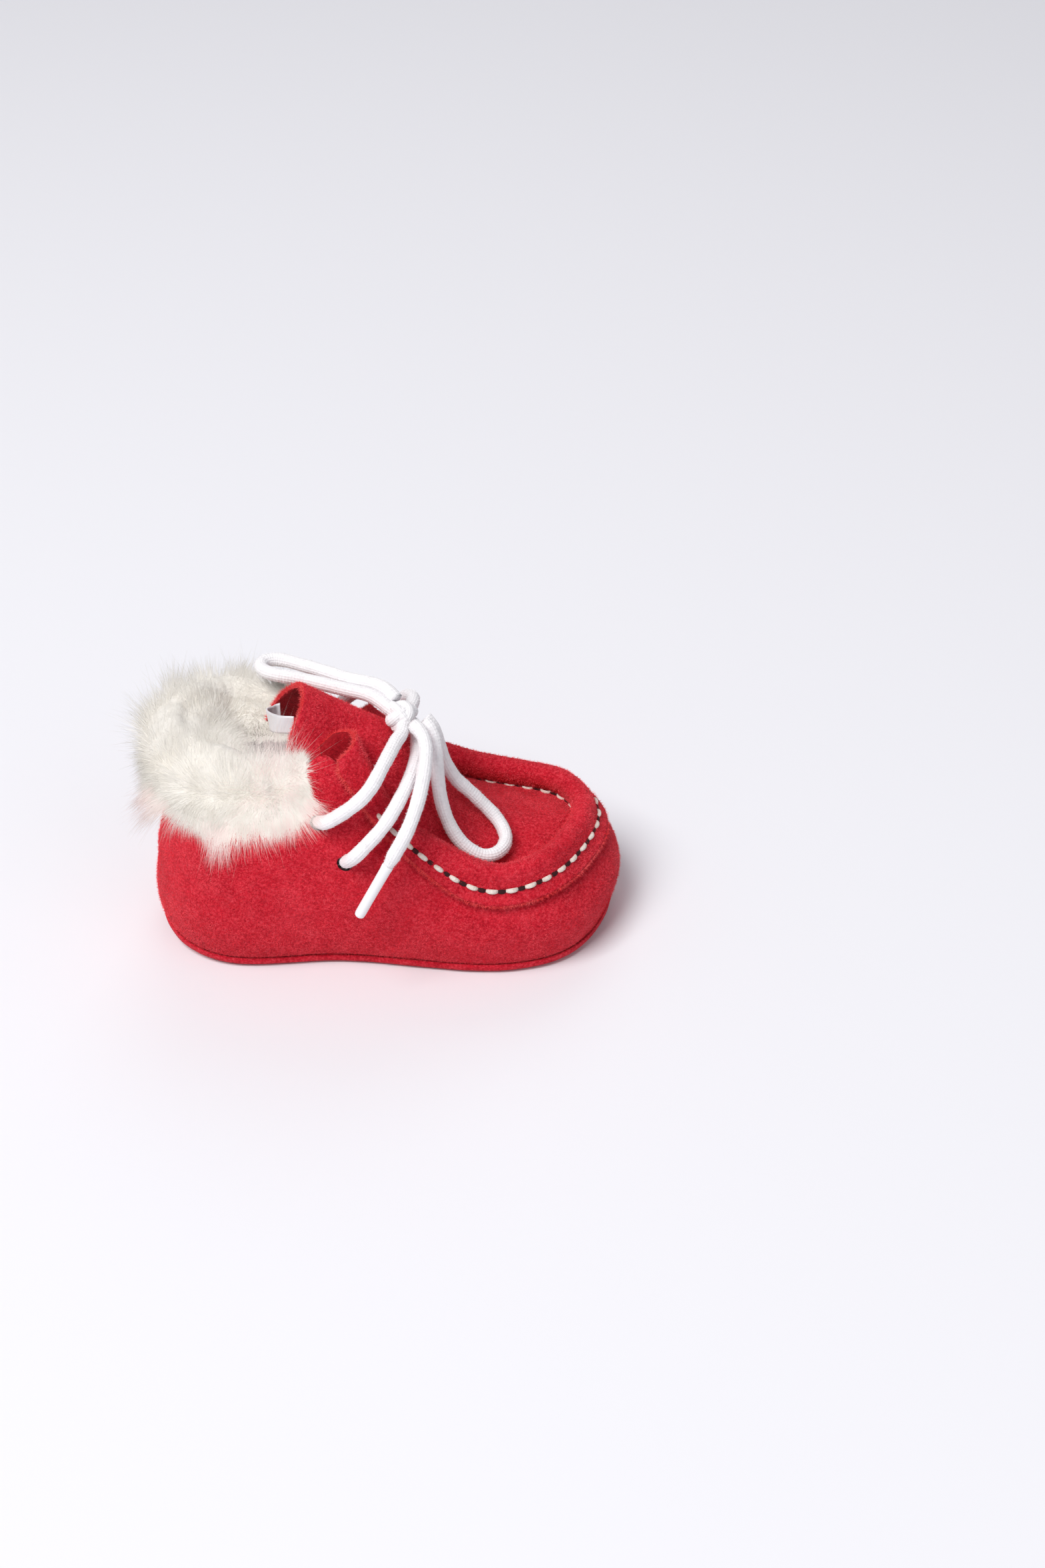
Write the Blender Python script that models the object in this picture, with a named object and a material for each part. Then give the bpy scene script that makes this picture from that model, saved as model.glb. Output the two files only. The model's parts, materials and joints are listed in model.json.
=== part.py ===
"""Baby's moccasin boot in red suede, right foot: a soft sole, a wraparound upper, an apron folded over
its top edge and running on into the tongue, a fur cuff round the collar, and a white bow-tied lace.
+X is the toe, +Y the inner side of the foot, +Z up. The origin is on the floor under mid-length."""

import math

import bmesh
import bpy
import numpy as np
from mathutils import Vector

MM = 0.001

# Main sizes of the last
SOLE_LENGTH = 113.5 * MM
BALL_WIDTH = 53 * MM
TOE_HEIGHT = 28 * MM
INSTEP_HEIGHT = 57 * MM
COLLAR_HEIGHT = 49 * MM

# Leather and clearances
GAP = 0.3 * MM
SOLE_THICKNESS = 1.8 * MM
RIM_CURL = 1.0 * MM
RIM_CURVE = 5 * MM
RIM_STEP = 0.5 * MM
WALL = 2.0 * MM
APRON = 1.5 * MM
INSOLE_THICKNESS = 2.6 * MM
INSOLE_FLARE = 1.6 * MM
BELLY_HEIGHT = 8 * MM
BELLY_OUT = 2.2 * MM

# The apron's fold over the upper's top edge
LIP_DEPTH = 7 * MM
INNER_DEPTH = 2.5 * MM
FOLD_AIR = 2.6 * MM
FOLD_OPENING = 2.4 * MM
FOLD_SLIP = 6 * MM
FOLD_BACK = 0.5
LEAST_AIR = 0.3 * MM
FOOT_BEND = 7 * MM
FLAP_REACH = 4.5 * MM
FLAP_LIFT = 0.5 * MM
FLAP_ROWS = 0.9
BASIN_STEPS = (0.08, 0.18, 0.34, 0.56, 0.80, 1.0)

# Eyelets punched through the upper
EYELET_RADIUS = 1.9 * MM
EYELET_SIDES = 12

# Fur cuff round the collar
FUR_OUT = 8.0 * MM
FUR_IN = 5.5 * MM
FUR_RISE = 9.5 * MM
FUR_DROP = 9.0 * MM
FUR_LINING = 9.0 * MM
LOCKS = 14
COLUMNS_PER_LOCK = 4
LOCKS_BESIDE_TONGUE = 5
LOCK_BULGE = 0.10
LOCK_VARIETY = 2.4
HEM_BETWEEN_LOCKS = 0.92
SHORT_LOCK = 0.20
LONG_LOCK = 0.65
END_PLUMP = 0.35
INNER_END_PLUMP = 0.12
CUFF_START = -0.5
CUFF_AIR = 0.4 * MM
CUFF_LINING_ROWS = 4

# Lace and its tips
LACE = 3.4 * MM
LACE_FACETS = 1.5
AGLET = 2.6 * MM
AGLET_LENGTH = 15 * MM
KNOT_SIZE = (7.6 * MM, 8.2 * MM, 7.0 * MM)

# Ribbon tag inside the tongue
TAG_THICKNESS = 0.6 * MM
TAG_WIDTH = 4.4 * MM
TAG_LEAN = (0.0, 0.25, 0.97)

# Facets
COLUMNS_PER_SECTION = 4
WALL_ROWS = 8
LIP_ROWS = 3
CREST_FACETS = 5
TONGUE_ROWS = 5
AGLET_SIDES = 10
KNOT_FACETS = 2
TAG_FACETS = 14

# Sections round the foot, from the back of the heel along the outer side to the toe and home along the
# inner side. sole_x and top_x are shares of SOLE_LENGTH, sole_y and top_y of BALL_WIDTH, belly and swell of
# BELLY_OUT, lift of RIM_CURL, and top_z of the height that the row follows.
SECTION_COLUMNS = ("sole_x", "sole_y", "lift", "belly", "swell", "top_x", "top_y", "follows", "top_z")
SECTIONS = {
    "heel_back": (-0.488, -0.010, 2.2, 0.55, 0.10, -0.434, -0.008, "collar", 1.02),
    "heel_outer_corner": (-0.438, -0.290, 1.8, 0.55, 0.15, -0.390, -0.225, "collar", 1.01),
    "heel_outer": (-0.318, -0.427, 1.0, 0.85, 0.55, -0.305, -0.325, "collar", 1.00),
    "waist_outer": (-0.165, -0.420, 0.8, 1.05, 0.90, -0.190, -0.300, "collar", 1.02),
    "quarter_outer": (-0.050, -0.430, 0.8, 1.15, 1.60, -0.105, -0.290, "instep", 1.00),
    "throat_outer": (0.060, -0.470, 0.8, 1.10, 1.20, -0.008, -0.372, "instep", 0.79),
    "bend_outer": (0.160, -0.505, 0.8, 0.90, 0.60, 0.120, -0.415, "toe", 1.13),
    "ball_outer": (0.262, -0.512, 0.9, 0.85, 0.40, 0.228, -0.442, "toe", 0.94),
    "toe_outer": (0.372, -0.450, 1.4, 0.80, 0.35, 0.330, -0.360, "toe", 0.94),
    "toe_outer_corner": (0.452, -0.270, 2.1, 0.85, 0.40, 0.396, -0.190, "toe", 0.95),
    "toe_tip": (0.492, 0.020, 2.4, 0.95, 0.45, 0.436, 0.045, "toe", 0.96),
    "toe_inner_corner": (0.460, 0.300, 2.1, 0.85, 0.40, 0.404, 0.247, "toe", 0.96),
    "toe_inner": (0.372, 0.432, 1.4, 0.80, 0.35, 0.335, 0.345, "toe", 0.95),
    "ball_inner": (0.262, 0.470, 0.9, 0.85, 0.40, 0.228, 0.405, "toe", 0.96),
    "bend_inner": (0.160, 0.455, 0.8, 0.95, 0.60, 0.120, 0.375, "toe", 1.15),
    "throat_inner": (0.060, 0.412, 0.8, 1.10, 1.20, 0.000, 0.345, "instep", 0.72),
    "quarter_inner": (-0.050, 0.375, 0.8, 1.15, 1.50, -0.100, 0.275, "instep", 0.865),
    "waist_inner": (-0.165, 0.372, 0.8, 1.05, 0.90, -0.190, 0.290, "collar", 1.02),
    "heel_inner": (-0.318, 0.402, 1.0, 0.85, 0.55, -0.305, 0.312, "collar", 1.00),
    "heel_inner_corner": (-0.438, 0.268, 1.8, 0.55, 0.15, -0.390, 0.210, "collar", 1.01),
}
HEIGHTS = {"toe": TOE_HEIGHT, "instep": INSTEP_HEIGHT, "collar": COLLAR_HEIGHT}
WALL_NODES = (0.0, 0.22, 0.60, 1.0)


def closed_spline(values):
    """A smooth closed curve through the rows of values, as a function of the row number."""
    count = len(values)
    shift = np.eye(count)
    matrix = 4 * shift + np.roll(shift, 1, 1) + np.roll(shift, -1, 1)
    bends = np.linalg.solve(matrix, 6 * (np.roll(values, -1, 0) - 2 * values + np.roll(values, 1, 0)))

    def at(rows):
        rows = np.asarray(rows, float)
        low = np.floor(rows).astype(int)
        after = (rows - low)[..., None]
        before = 1 - after
        a, b = values[low % count], values[(low + 1) % count]
        bend_a, bend_b = bends[low % count], bends[(low + 1) % count]
        return before * a + after * b + ((before**3 - before) * bend_a + (after**3 - after) * bend_b) / 6

    return at


def open_spline(values):
    """A smooth curve through the rows of values, straight at its ends, as a function of the row number."""
    values = np.asarray(values, float)
    count = len(values)
    matrix = np.eye(count)
    right = np.zeros_like(values)
    for i in range(1, count - 1):
        matrix[i, i - 1 : i + 2] = (1, 4, 1)
        right[i] = 6 * (values[i + 1] - 2 * values[i] + values[i - 1])
    bends = np.linalg.solve(matrix, right)

    def at(rows):
        rows = np.asarray(rows, float)
        low = np.clip(np.floor(rows).astype(int), 0, count - 2)
        after = (rows - low)[..., None]
        before = 1 - after
        curve = (before**3 - before) * bends[low] + (after**3 - after) * bends[low + 1]
        return before * values[low] + after * values[low + 1] + curve / 6

    return at


def guide_rows():
    """For each section: the sole's rim, its lift, the belly and swell, and the top, in metres."""
    rows = []
    for section in SECTIONS.values():
        row = dict(zip(SECTION_COLUMNS, section))
        rows.append(
            (
                row["sole_x"] * SOLE_LENGTH,
                row["sole_y"] * BALL_WIDTH,
                row["lift"] * RIM_CURL,
                row["belly"] * BELLY_OUT,
                row["swell"] * BELLY_OUT,
                row["top_x"] * SOLE_LENGTH,
                row["top_y"] * BALL_WIDTH,
                row["top_z"] * HEIGHTS[row["follows"]],
            )
        )
    return np.array(rows)


GUIDES = closed_spline(guide_rows())
ROW_OF = {name: i for i, name in enumerate(SECTIONS)}
ROUND = len(SECTIONS)


def unit(vectors):
    return vectors / np.linalg.norm(vectors, axis=-1, keepdims=True)


def outline(rows):
    """The rim of the sole in plan, and the way outward there."""
    step = 0.01
    point = GUIDES(rows)[..., :2]
    along = GUIDES(rows + step)[..., :2] - GUIDES(rows - step)[..., :2]
    outward = unit(np.stack([along[..., 1], -along[..., 0]], axis=-1))
    return point, outward


def rim_height(rows, inset):
    """The height of the sole's underside at a distance in from its rim: flat inside, curled at the rim."""
    share = np.clip(1 - inset / RIM_CURVE, 0, 1)
    return GUIDES(rows)[..., 2] * share**2


def wall(rows, up):
    """The upper's outer face, up running from 0 at the sole to 1 at the top edge."""
    rows, up = np.broadcast_arrays(np.asarray(rows, float), np.asarray(up, float))
    guide = GUIDES(rows)
    rim, outward = outline(rows)
    flat_out = np.concatenate([outward, np.zeros_like(outward[..., :1])], axis=-1)
    base_z = rim_height(rows, RIM_STEP) + SOLE_THICKNESS + GAP
    base = np.concatenate([rim - outward * RIM_STEP, base_z[..., None]], axis=-1)
    belly = base + flat_out * guide[..., 3:4] + np.array((0, 0, BELLY_HEIGHT))
    top = guide[..., 5:8]
    middle = (belly + top) / 2 + flat_out * guide[..., 4:5]
    point = np.zeros_like(base)
    for i, guide_point in enumerate((base, belly, middle, top)):
        weight = np.ones_like(up)
        for j, node in enumerate(WALL_NODES):
            if j != i:
                weight = weight * (up - node) / (WALL_NODES[i] - node)
        point = point + weight[..., None] * guide_point
    return point


def wall_frame(rows, up):
    """The wall's point, its two slopes, and the outward normal."""
    step = 1e-3
    along = (wall(rows + step, up) - wall(rows - step, up)) / (2 * step)
    rise = (wall(rows, up + step) - wall(rows, up - step)) / (2 * step)
    return wall(rows, up), along, rise, unit(np.cross(along, rise))


def material(name, colour, roughness, metallic=0.0):
    """A plain finish with the part's colour."""
    made = bpy.data.materials.new(name)
    made.use_nodes = True
    shader = made.node_tree.nodes["Principled BSDF"]
    shader.inputs["Base Color"].default_value = (*colour, 1)
    shader.inputs["Roughness"].default_value = roughness
    shader.inputs["Metallic"].default_value = metallic
    return made


def clear_scene():
    for thing in list(bpy.data.objects):
        bpy.data.objects.remove(thing)


def add_mesh(name, points, faces, finish):
    """A mesh object with its faces pointing out, shaded smooth between its sharp edges."""
    mesh = bpy.data.meshes.new(name)
    mesh.from_pydata([tuple(p) for p in points], [], faces)
    shape = bmesh.new()
    shape.from_mesh(mesh)
    bmesh.ops.recalc_face_normals(shape, faces=shape.faces)
    shape.to_mesh(mesh)
    shape.free()
    mesh.shade_smooth()
    mesh.set_sharp_from_angle(angle=math.radians(40))
    mesh.materials.append(finish)
    thing = bpy.data.objects.new(name, mesh)
    bpy.context.scene.collection.objects.link(thing)
    return thing


def ring_faces(rings, count, closed_rings):
    """Quads between rings of points that each close on themselves."""
    faces = []
    last = rings if closed_rings else rings - 1
    for r in range(last):
        here, there = r * count, ((r + 1) % rings) * count
        for i in range(count):
            j = (i + 1) % count
            faces.append((here + i, here + j, there + j, there + i))
    return faces


def make_sole(finish):
    """A soft sole: flat underneath, its rim curled up round the foot."""
    rows = np.linspace(0, ROUND, ROUND * COLUMNS_PER_SECTION, endpoint=False)
    rim, outward = outline(rows)
    count = len(rows)
    rings = []
    for inset, thickness in ((RIM_CURVE, 0), (RIM_CURVE / 2, 0), (0, 0), (0, 1), (RIM_CURVE / 2, 1), (RIM_CURVE, 1)):
        z = rim_height(rows, inset) + thickness * SOLE_THICKNESS
        rings.append(np.concatenate([rim - outward * inset, z[:, None]], axis=1))
    faces = ring_faces(len(rings), count, False)
    faces.append(tuple(range(count)))
    faces.append(tuple(range(count * (len(rings) - 1), count * len(rings))))
    return add_mesh("sole", np.concatenate(rings), faces, finish)


def make_insole(finish):
    """A pad that fills the floor of the shoe, wider at its top where the upper swells."""
    rows = np.linspace(0, ROUND, ROUND * COLUMNS_PER_SECTION // 2, endpoint=False)
    rim, outward = outline(rows)
    low = SOLE_THICKNESS + GAP
    rings = []
    for inset, z in ((RIM_CURVE, low), (RIM_CURVE - INSOLE_FLARE, low + INSOLE_THICKNESS)):
        height = np.full((len(rows), 1), z)
        rings.append(np.concatenate([rim - outward * inset, height], axis=1))
    count = len(rows)
    faces = ring_faces(2, count, False) + [tuple(range(count)), tuple(range(count, 2 * count))]
    return add_mesh("insole", np.concatenate(rings), faces, finish)


def make_upper(finish):
    """The wraparound upper: one wall from the sole to the collar and to the edge that the apron folds over."""
    rows = np.linspace(0, ROUND, ROUND * COLUMNS_PER_SECTION, endpoint=False)
    count = len(rows)
    rings = []
    heights = np.linspace(0, 1, WALL_ROWS)
    for up in heights:
        rings.append(wall(rows, up))
    for up in heights[::-1]:
        point, _, _, normal = wall_frame(rows, np.full_like(rows, up))
        rings.append(point - normal * WALL)
    return add_mesh("upper", np.concatenate(rings), ring_faces(len(rings), count, True), finish)


# The apron's middle line, a row for each section from the quarter to the toe. x is a share of SOLE_LENGTH,
# y of BALL_WIDTH, z of INSTEP_HEIGHT, lip of LIP_DEPTH, air of FOLD_AIR, open of FOLD_OPENING and slip of
# FOLD_SLIP, which is how far the fold's inner side runs on past its outer side.
SPINE_COLUMNS = ("x", "y", "z", "lip", "air", "open", "slip")
SPINE = {
    "quarter": (-0.078, -0.020, 1.070, 0.15, 3.20, 2.00, 3.60),
    "throat": (0.030, -0.010, 0.925, 0.45, 0.35, 0.25, 0.00),
    "bend": (0.110, -0.005, 0.680, 0.85, 0.20, 0.00, 0.00),
    "ball": (0.190, -0.005, 0.515, 1.00, 0.05, 0.00, 0.00),
    "toe": (0.280, -0.005, 0.455, 1.00, 0.00, 0.00, 0.00),
    "toe_corner": (0.355, 0.015, 0.440, 1.00, 0.00, 0.00, 0.00),
    "toe_tip": (0.402, 0.035, 0.435, 1.00, 0.00, 0.00, 0.00),
}

# The tongue's top edge from its outer corner over the crown to its inner corner, in the same shares
TONGUE_RIM = {
    "outer_corner": (-0.186, -0.185, 0.955),
    "outer_shoulder": (-0.170, -0.180, 1.075),
    "outer_crown": (-0.153, -0.112, 1.140),
    "crown": (-0.158, 0.000, 1.155),
    "inner_crown": (-0.184, 0.078, 1.098),
    "inner_shoulder": (-0.215, 0.128, 1.010),
    "inner_corner": (-0.240, 0.155, 0.900),
}


def spine_rows():
    """The middle line and the fold's lip, air, opening and slip, in metres."""
    rows = []
    for values in SPINE.values():
        row = dict(zip(SPINE_COLUMNS, values))
        rows.append(
            (
                row["x"] * SOLE_LENGTH,
                row["y"] * BALL_WIDTH,
                row["z"] * INSTEP_HEIGHT,
                row["lip"] * LIP_DEPTH,
                row["air"] * FOLD_AIR,
                row["open"] * FOLD_OPENING,
                row["slip"] * FOLD_SLIP,
            )
        )
    return np.array(rows)


def rim_rows():
    rows = []
    for x, y, z in TONGUE_RIM.values():
        rows.append((x * SOLE_LENGTH, y * BALL_WIDTH, z * INSTEP_HEIGHT))
    return np.array(rows)


MIDDLE = open_spline(spine_rows())
RIM = open_spline(rim_rows())
FOLD_START = ROW_OF["quarter_outer"] + FOLD_BACK
FOLD_END = ROW_OF["quarter_inner"] - FOLD_BACK
TOE = ROW_OF["toe_tip"]
TONGUE_CROWN = list(TONGUE_RIM).index("crown")


def fold_rows():
    return np.linspace(FOLD_START, FOLD_END, round((FOLD_END - FOLD_START) * COLUMNS_PER_SECTION) + 1)


def middle_at(rows):
    """The middle line and fold sizes that belong to each row, the same on both sides of the toe."""
    return MIDDLE(TOE - np.abs(rows - TOE) - ROW_OF["quarter_outer"])


def over_edge(rows):
    """At the upper's top edge: the edge's line, the outward normal, and the way over the edge, square to both."""
    point, along, rise, normal = wall_frame(rows, np.ones_like(rows))
    along = unit(along)
    over = unit(rise - (rise * along).sum(-1, keepdims=True) * along)
    slant = (unit(rise) * over).sum(-1)
    return point, normal, over, slant


def up_at(rows, depth):
    """How far up the wall a line runs that is this deep below the top edge, measured square to the edge."""
    _, _, rise, _ = wall_frame(rows, np.full_like(rows, 0.9))
    _, _, _, slant = over_edge(rows)
    return 1 - depth / (np.linalg.norm(rise, axis=-1) * slant)


def fold_line(rows, middle):
    """One crossing line of the apron for each row, from the lip over the fold and down to the middle line."""
    outside = GAP + APRON / 2
    lip, air, opening, slip = middle[:, 3], middle[:, 4:5], middle[:, 5:6], middle[:, 6:7]
    inside = WALL + outside + opening
    radius = (inside + outside) / 2
    lines = []
    edge, normal, over, _ = over_edge(rows)
    back = np.cross(normal, over) * np.sign(TOE - rows)[:, None]
    near_end = np.clip(1 - (rows - FOLD_START) / FLAP_ROWS, 0, 1)[:, None]
    flap = back * FLAP_REACH * near_end**2
    for up in np.linspace(0, 1, LIP_ROWS):
        point, _, _, face = wall_frame(rows, up_at(rows, lip * (1 - up)))
        lines.append(point + face * (outside + FLAP_LIFT * near_end**3) + flap)
    for facet in range(CREST_FACETS + 1):
        turn = math.pi * facet / CREST_FACETS
        sideways = outside - radius + radius * math.cos(turn)
        top = edge + normal * sideways + over * (LEAST_AIR + air + radius * math.sin(turn))
        lines.append(top + back * slip * facet / CREST_FACETS + flap * (1 - facet / CREST_FACETS))
    for share in (0.0, 1.0):
        point, _, _, normal = wall_frame(rows, up_at(rows, np.full_like(rows, INNER_DEPTH * share)))
        lines.append(point - normal * inside + back * slip)
    foot = lines[-1]
    spine = middle[:, :3]
    across = spine - foot
    reach = np.linalg.norm(across, axis=-1, keepdims=True)
    level = across * np.array((1, 1, 0))
    for t in BASIN_STEPS:
        start = (2 * t**3 - 3 * t**2 + 1) * foot + (t**3 - 2 * t**2 + t) * -over * FOOT_BEND
        end = (3 * t**2 - 2 * t**3) * spine + (t**3 - t**2) * unit(level) * reach
        lines.append(start + end)
    return np.stack(lines)


def make_apron(finish):
    """The apron and tongue in one sheet: a lip outside the upper, the fold over its edge, the apron between
    the folds, and the tongue running on from it between the open ends of the folds."""
    rows = fold_rows()
    count = len(rows)
    half = count // 2
    lines = fold_line(rows, middle_at(rows))
    depth = len(lines)
    points = list(lines.reshape(-1, 3))

    def index(line, column):
        if line == depth - 1 and column > half:
            column = count - 1 - column
        return line * count + column

    faces = []
    for line in range(depth - 1):
        for column in range(count - 1):
            corners = [
                index(line, column),
                index(line, column + 1),
                index(line + 1, column + 1),
                index(line + 1, column),
            ]
            faces.append([c for i, c in enumerate(corners) if c not in corners[:i]])
    first = LIP_ROWS + CREST_FACETS + 2
    throat = [index(line, 0) for line in range(first, depth)]
    throat += [index(line, count - 1) for line in range(depth - 2, first - 1, -1)]
    across = np.linspace(0, len(TONGUE_RIM) - 1, len(throat))
    rim = RIM(across)
    base = np.array([points[i] for i in throat])
    before = throat
    for row in range(1, TONGUE_ROWS + 1):
        along = row / TONGUE_ROWS
        here = list(range(len(points), len(points) + len(throat)))
        points.extend(base * (1 - along) + rim * along)
        for i in range(len(throat) - 1):
            faces.append([before[i], before[i + 1], here[i + 1], here[i]])
        before = here
    used = sorted({i for face in faces for i in face})
    place = {old: new for new, old in enumerate(used)}
    points = [points[i] for i in used]
    faces = [[place[i] for i in face] for face in faces]
    sheet = add_mesh("apron", points, faces, finish)
    solid = sheet.modifiers.new("leather", "SOLIDIFY")
    solid.thickness = APRON
    solid.offset = 0
    return sheet


# The eyelets, by section and by share of the wall's height
EYELETS = {
    "upper_outer": ("quarter_outer", -0.42, 0.74),
    "lower_outer": ("quarter_outer", 0.05, 0.575),
    "upper_inner": ("quarter_inner", 0.42, 0.78),
    "lower_inner": ("quarter_inner", -0.05, 0.63),
}

# The cuff's outline on a section, as shares: how far out from the wall's outer face, in FUR_OUT where
# positive and in the wall and FUR_IN together where negative, and how high over the collar's edge, in
# FUR_RISE where positive and below it in FUR_DROP, or FUR_LINING on the inner side, where negative.
CUFF = {
    "hem_tip": (0.28, -1.00),
    "hem": (0.72, -0.80),
    "outer_belly": (1.00, -0.10),
    "outer_top": (0.88, 0.55),
    "top_outer": (0.45, 0.92),
    "top": (-0.05, 1.00),
    "top_inner": (-0.56, 0.80),
    "inner_belly": (-1.00, 0.20),
    "inner_hem": (-1.08, -0.60),
    "lining_hem": (-0.90, -1.00),
}

# Routes of the lace, in millimetres, from where each stretch leaves an eyelet or the knot
LACE_BAR = (
    (-8.7, -26.0, 33.6),
    (-6.2, -26.9, 36.4),
    (-3.4, -26.6, 39.4),
    (-0.4, -25.8, 42.6),
    (2.0, -24.4, 45.4),
    (3.9, -22.4, 47.7),
    (5.6, -19.2, 49.3),
    (6.9, -15.6, 50.1),
    (8.0, -11.5, 50.9),
    (8.6, -7.0, 51.5),
    (8.7, -2.5, 51.8),
    (8.4, 2.2, 51.2),
    (7.6, 7.0, 49.6),
    (6.4, 12.0, 47.6),
    (4.8, 17.0, 45.6),
    (2.4, 21.2, 42.7),
    (-0.8, 23.7, 39.0),
    (-4.6, 24.0, 35.6),
    (-8.7, 23.4, 32.4),
)
LACE_STRAND_OUTER = (
    (-14.9, -21.7, 42.0),
    (-12.8, -22.9, 43.6),
    (-10.3, -23.8, 45.5),
    (-7.4, -24.6, 48.2),
    (-4.4, -24.4, 50.8),
    (-1.6, -22.4, 53.2),
    (0.6, -18.8, 55.4),
    (2.6, -14.0, 56.6),
    (4.2, -9.6, 57.0),
    (5.2, -6.8, 57.0),
)
LACE_STRAND_INNER = (
    (2.4, 3.4, 57.4),
    (0.2, 6.2, 57.6),
    (-2.2, 9.4, 57.0),
    (-4.9, 13.2, 55.2),
    (-7.6, 16.6, 51.8),
    (-10.2, 18.8, 47.8),
    (-12.6, 19.7, 44.0),
    (-14.5, 19.7, 40.8),
)
LACE_END_OUTER = (
    (8.0, -5.4, 58.2),
    (10.0, -8.4, 57.4),
    (10.8, -11.8, 55.6),
    (10.5, -15.4, 53.4),
    (9.6, -19.6, 50.5),
    (8.0, -24.0, 46.9),
    (5.7, -27.4, 42.8),
    (3.5, -29.1, 39.4),
    (2.6, -29.5, 37.8),
    (1.7, -29.8, 36.2),
)
LACE_END_INNER = (
    (6.9, 4.6, 56.0),
    (7.7, 7.7, 55.7),
    (7.6, 10.5, 54.9),
    (7.0, 13.8, 53.0),
    (6.0, 18.4, 50.0),
    (4.8, 22.4, 46.2),
    (3.4, 25.8, 41.2),
    (2.2, 27.6, 35.6),
    (1.6, 28.0, 31.4),
)
LACE_LOOP_FRONT = (
    (10.6, -3.0, 57.4),
    (12.2, -4.6, 55.6),
    (13.0, -6.4, 52.4),
    (13.2, -8.6, 48.4),
    (13.6, -10.8, 43.2),
    (14.7, -12.5, 38.0),
    (16.7, -14.2, 33.4),
    (19.6, -15.8, 30.1),
    (23.0, -16.6, 28.2),
    (26.2, -15.8, 27.6),
    (28.5, -13.0, 27.6),
    (29.1, -9.6, 28.1),
    (28.0, -6.4, 29.4),
    (25.8, -4.2, 31.4),
    (23.2, -3.2, 34.0),
    (20.6, -2.7, 36.8),
    (18.0, -2.5, 39.6),
    (15.9, -2.4, 43.2),
    (14.4, -2.2, 47.2),
    (13.4, -1.6, 51.0),
    (12.3, -0.4, 54.0),
    (10.7, 0.7, 55.8),
)
LACE_LOOP_BACK = (
    (1.5, 0.4, 59.8),
    (-1.7, 3.3, 60.4),
    (-6.2, 5.4, 60.6),
    (-11.0, 7.4, 60.7),
    (-16.4, 10.0, 60.6),
    (-21.4, 11.4, 60.9),
    (-25.6, 12.8, 61.0),
    (-28.2, 15.4, 60.9),
    (-27.8, 18.6, 60.7),
    (-24.2, 19.6, 60.5),
    (-19.8, 17.8, 60.4),
    (-15.2, 15.4, 60.4),
    (-10.6, 12.4, 60.6),
    (-6.0, 9.2, 61.2),
    (-1.7, 7.0, 61.6),
    (1.7, 4.4, 61.5),
)
KNOT_PLACE = (5.7, -1.0, 57.2)


def make_upper_with_eyelets(finish):
    """The upper with its lace holes punched square to its wall."""
    upper = make_upper(finish)
    for name, (section, shift, up) in EYELETS.items():
        row = np.array([ROW_OF[section] + shift])
        point, _, _, normal = wall_frame(row, np.array([up]))
        centre = Vector(point[0] - normal[0] * WALL / 2)
        shape = bmesh.new()
        bmesh.ops.create_cone(
            shape,
            cap_ends=True,
            segments=EYELET_SIDES,
            radius1=EYELET_RADIUS,
            radius2=EYELET_RADIUS,
            depth=4 * WALL,
        )
        mesh = bpy.data.meshes.new(name)
        shape.to_mesh(mesh)
        shape.free()
        punch = bpy.data.objects.new("punch_" + name, mesh)
        punch.location = centre
        punch.rotation_mode = "QUATERNION"
        punch.rotation_quaternion = Vector(normal[0]).to_track_quat("Z", "Y")
        punch.hide_render = True
        punch.display_type = "WIRE"
        bpy.context.scene.collection.objects.link(punch)
        cut = upper.modifiers.new("eyelet_" + name, "BOOLEAN")
        cut.operation = "DIFFERENCE"
        cut.object = punch
        cut.solver = "EXACT"
    return upper


def eased(least, share):
    """From least at share 0 softly up to 1 at share 1 and beyond."""
    return least + (1 - least) * (0.5 - 0.5 * np.cos(np.clip(share, 0, 1) * math.pi))


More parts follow.
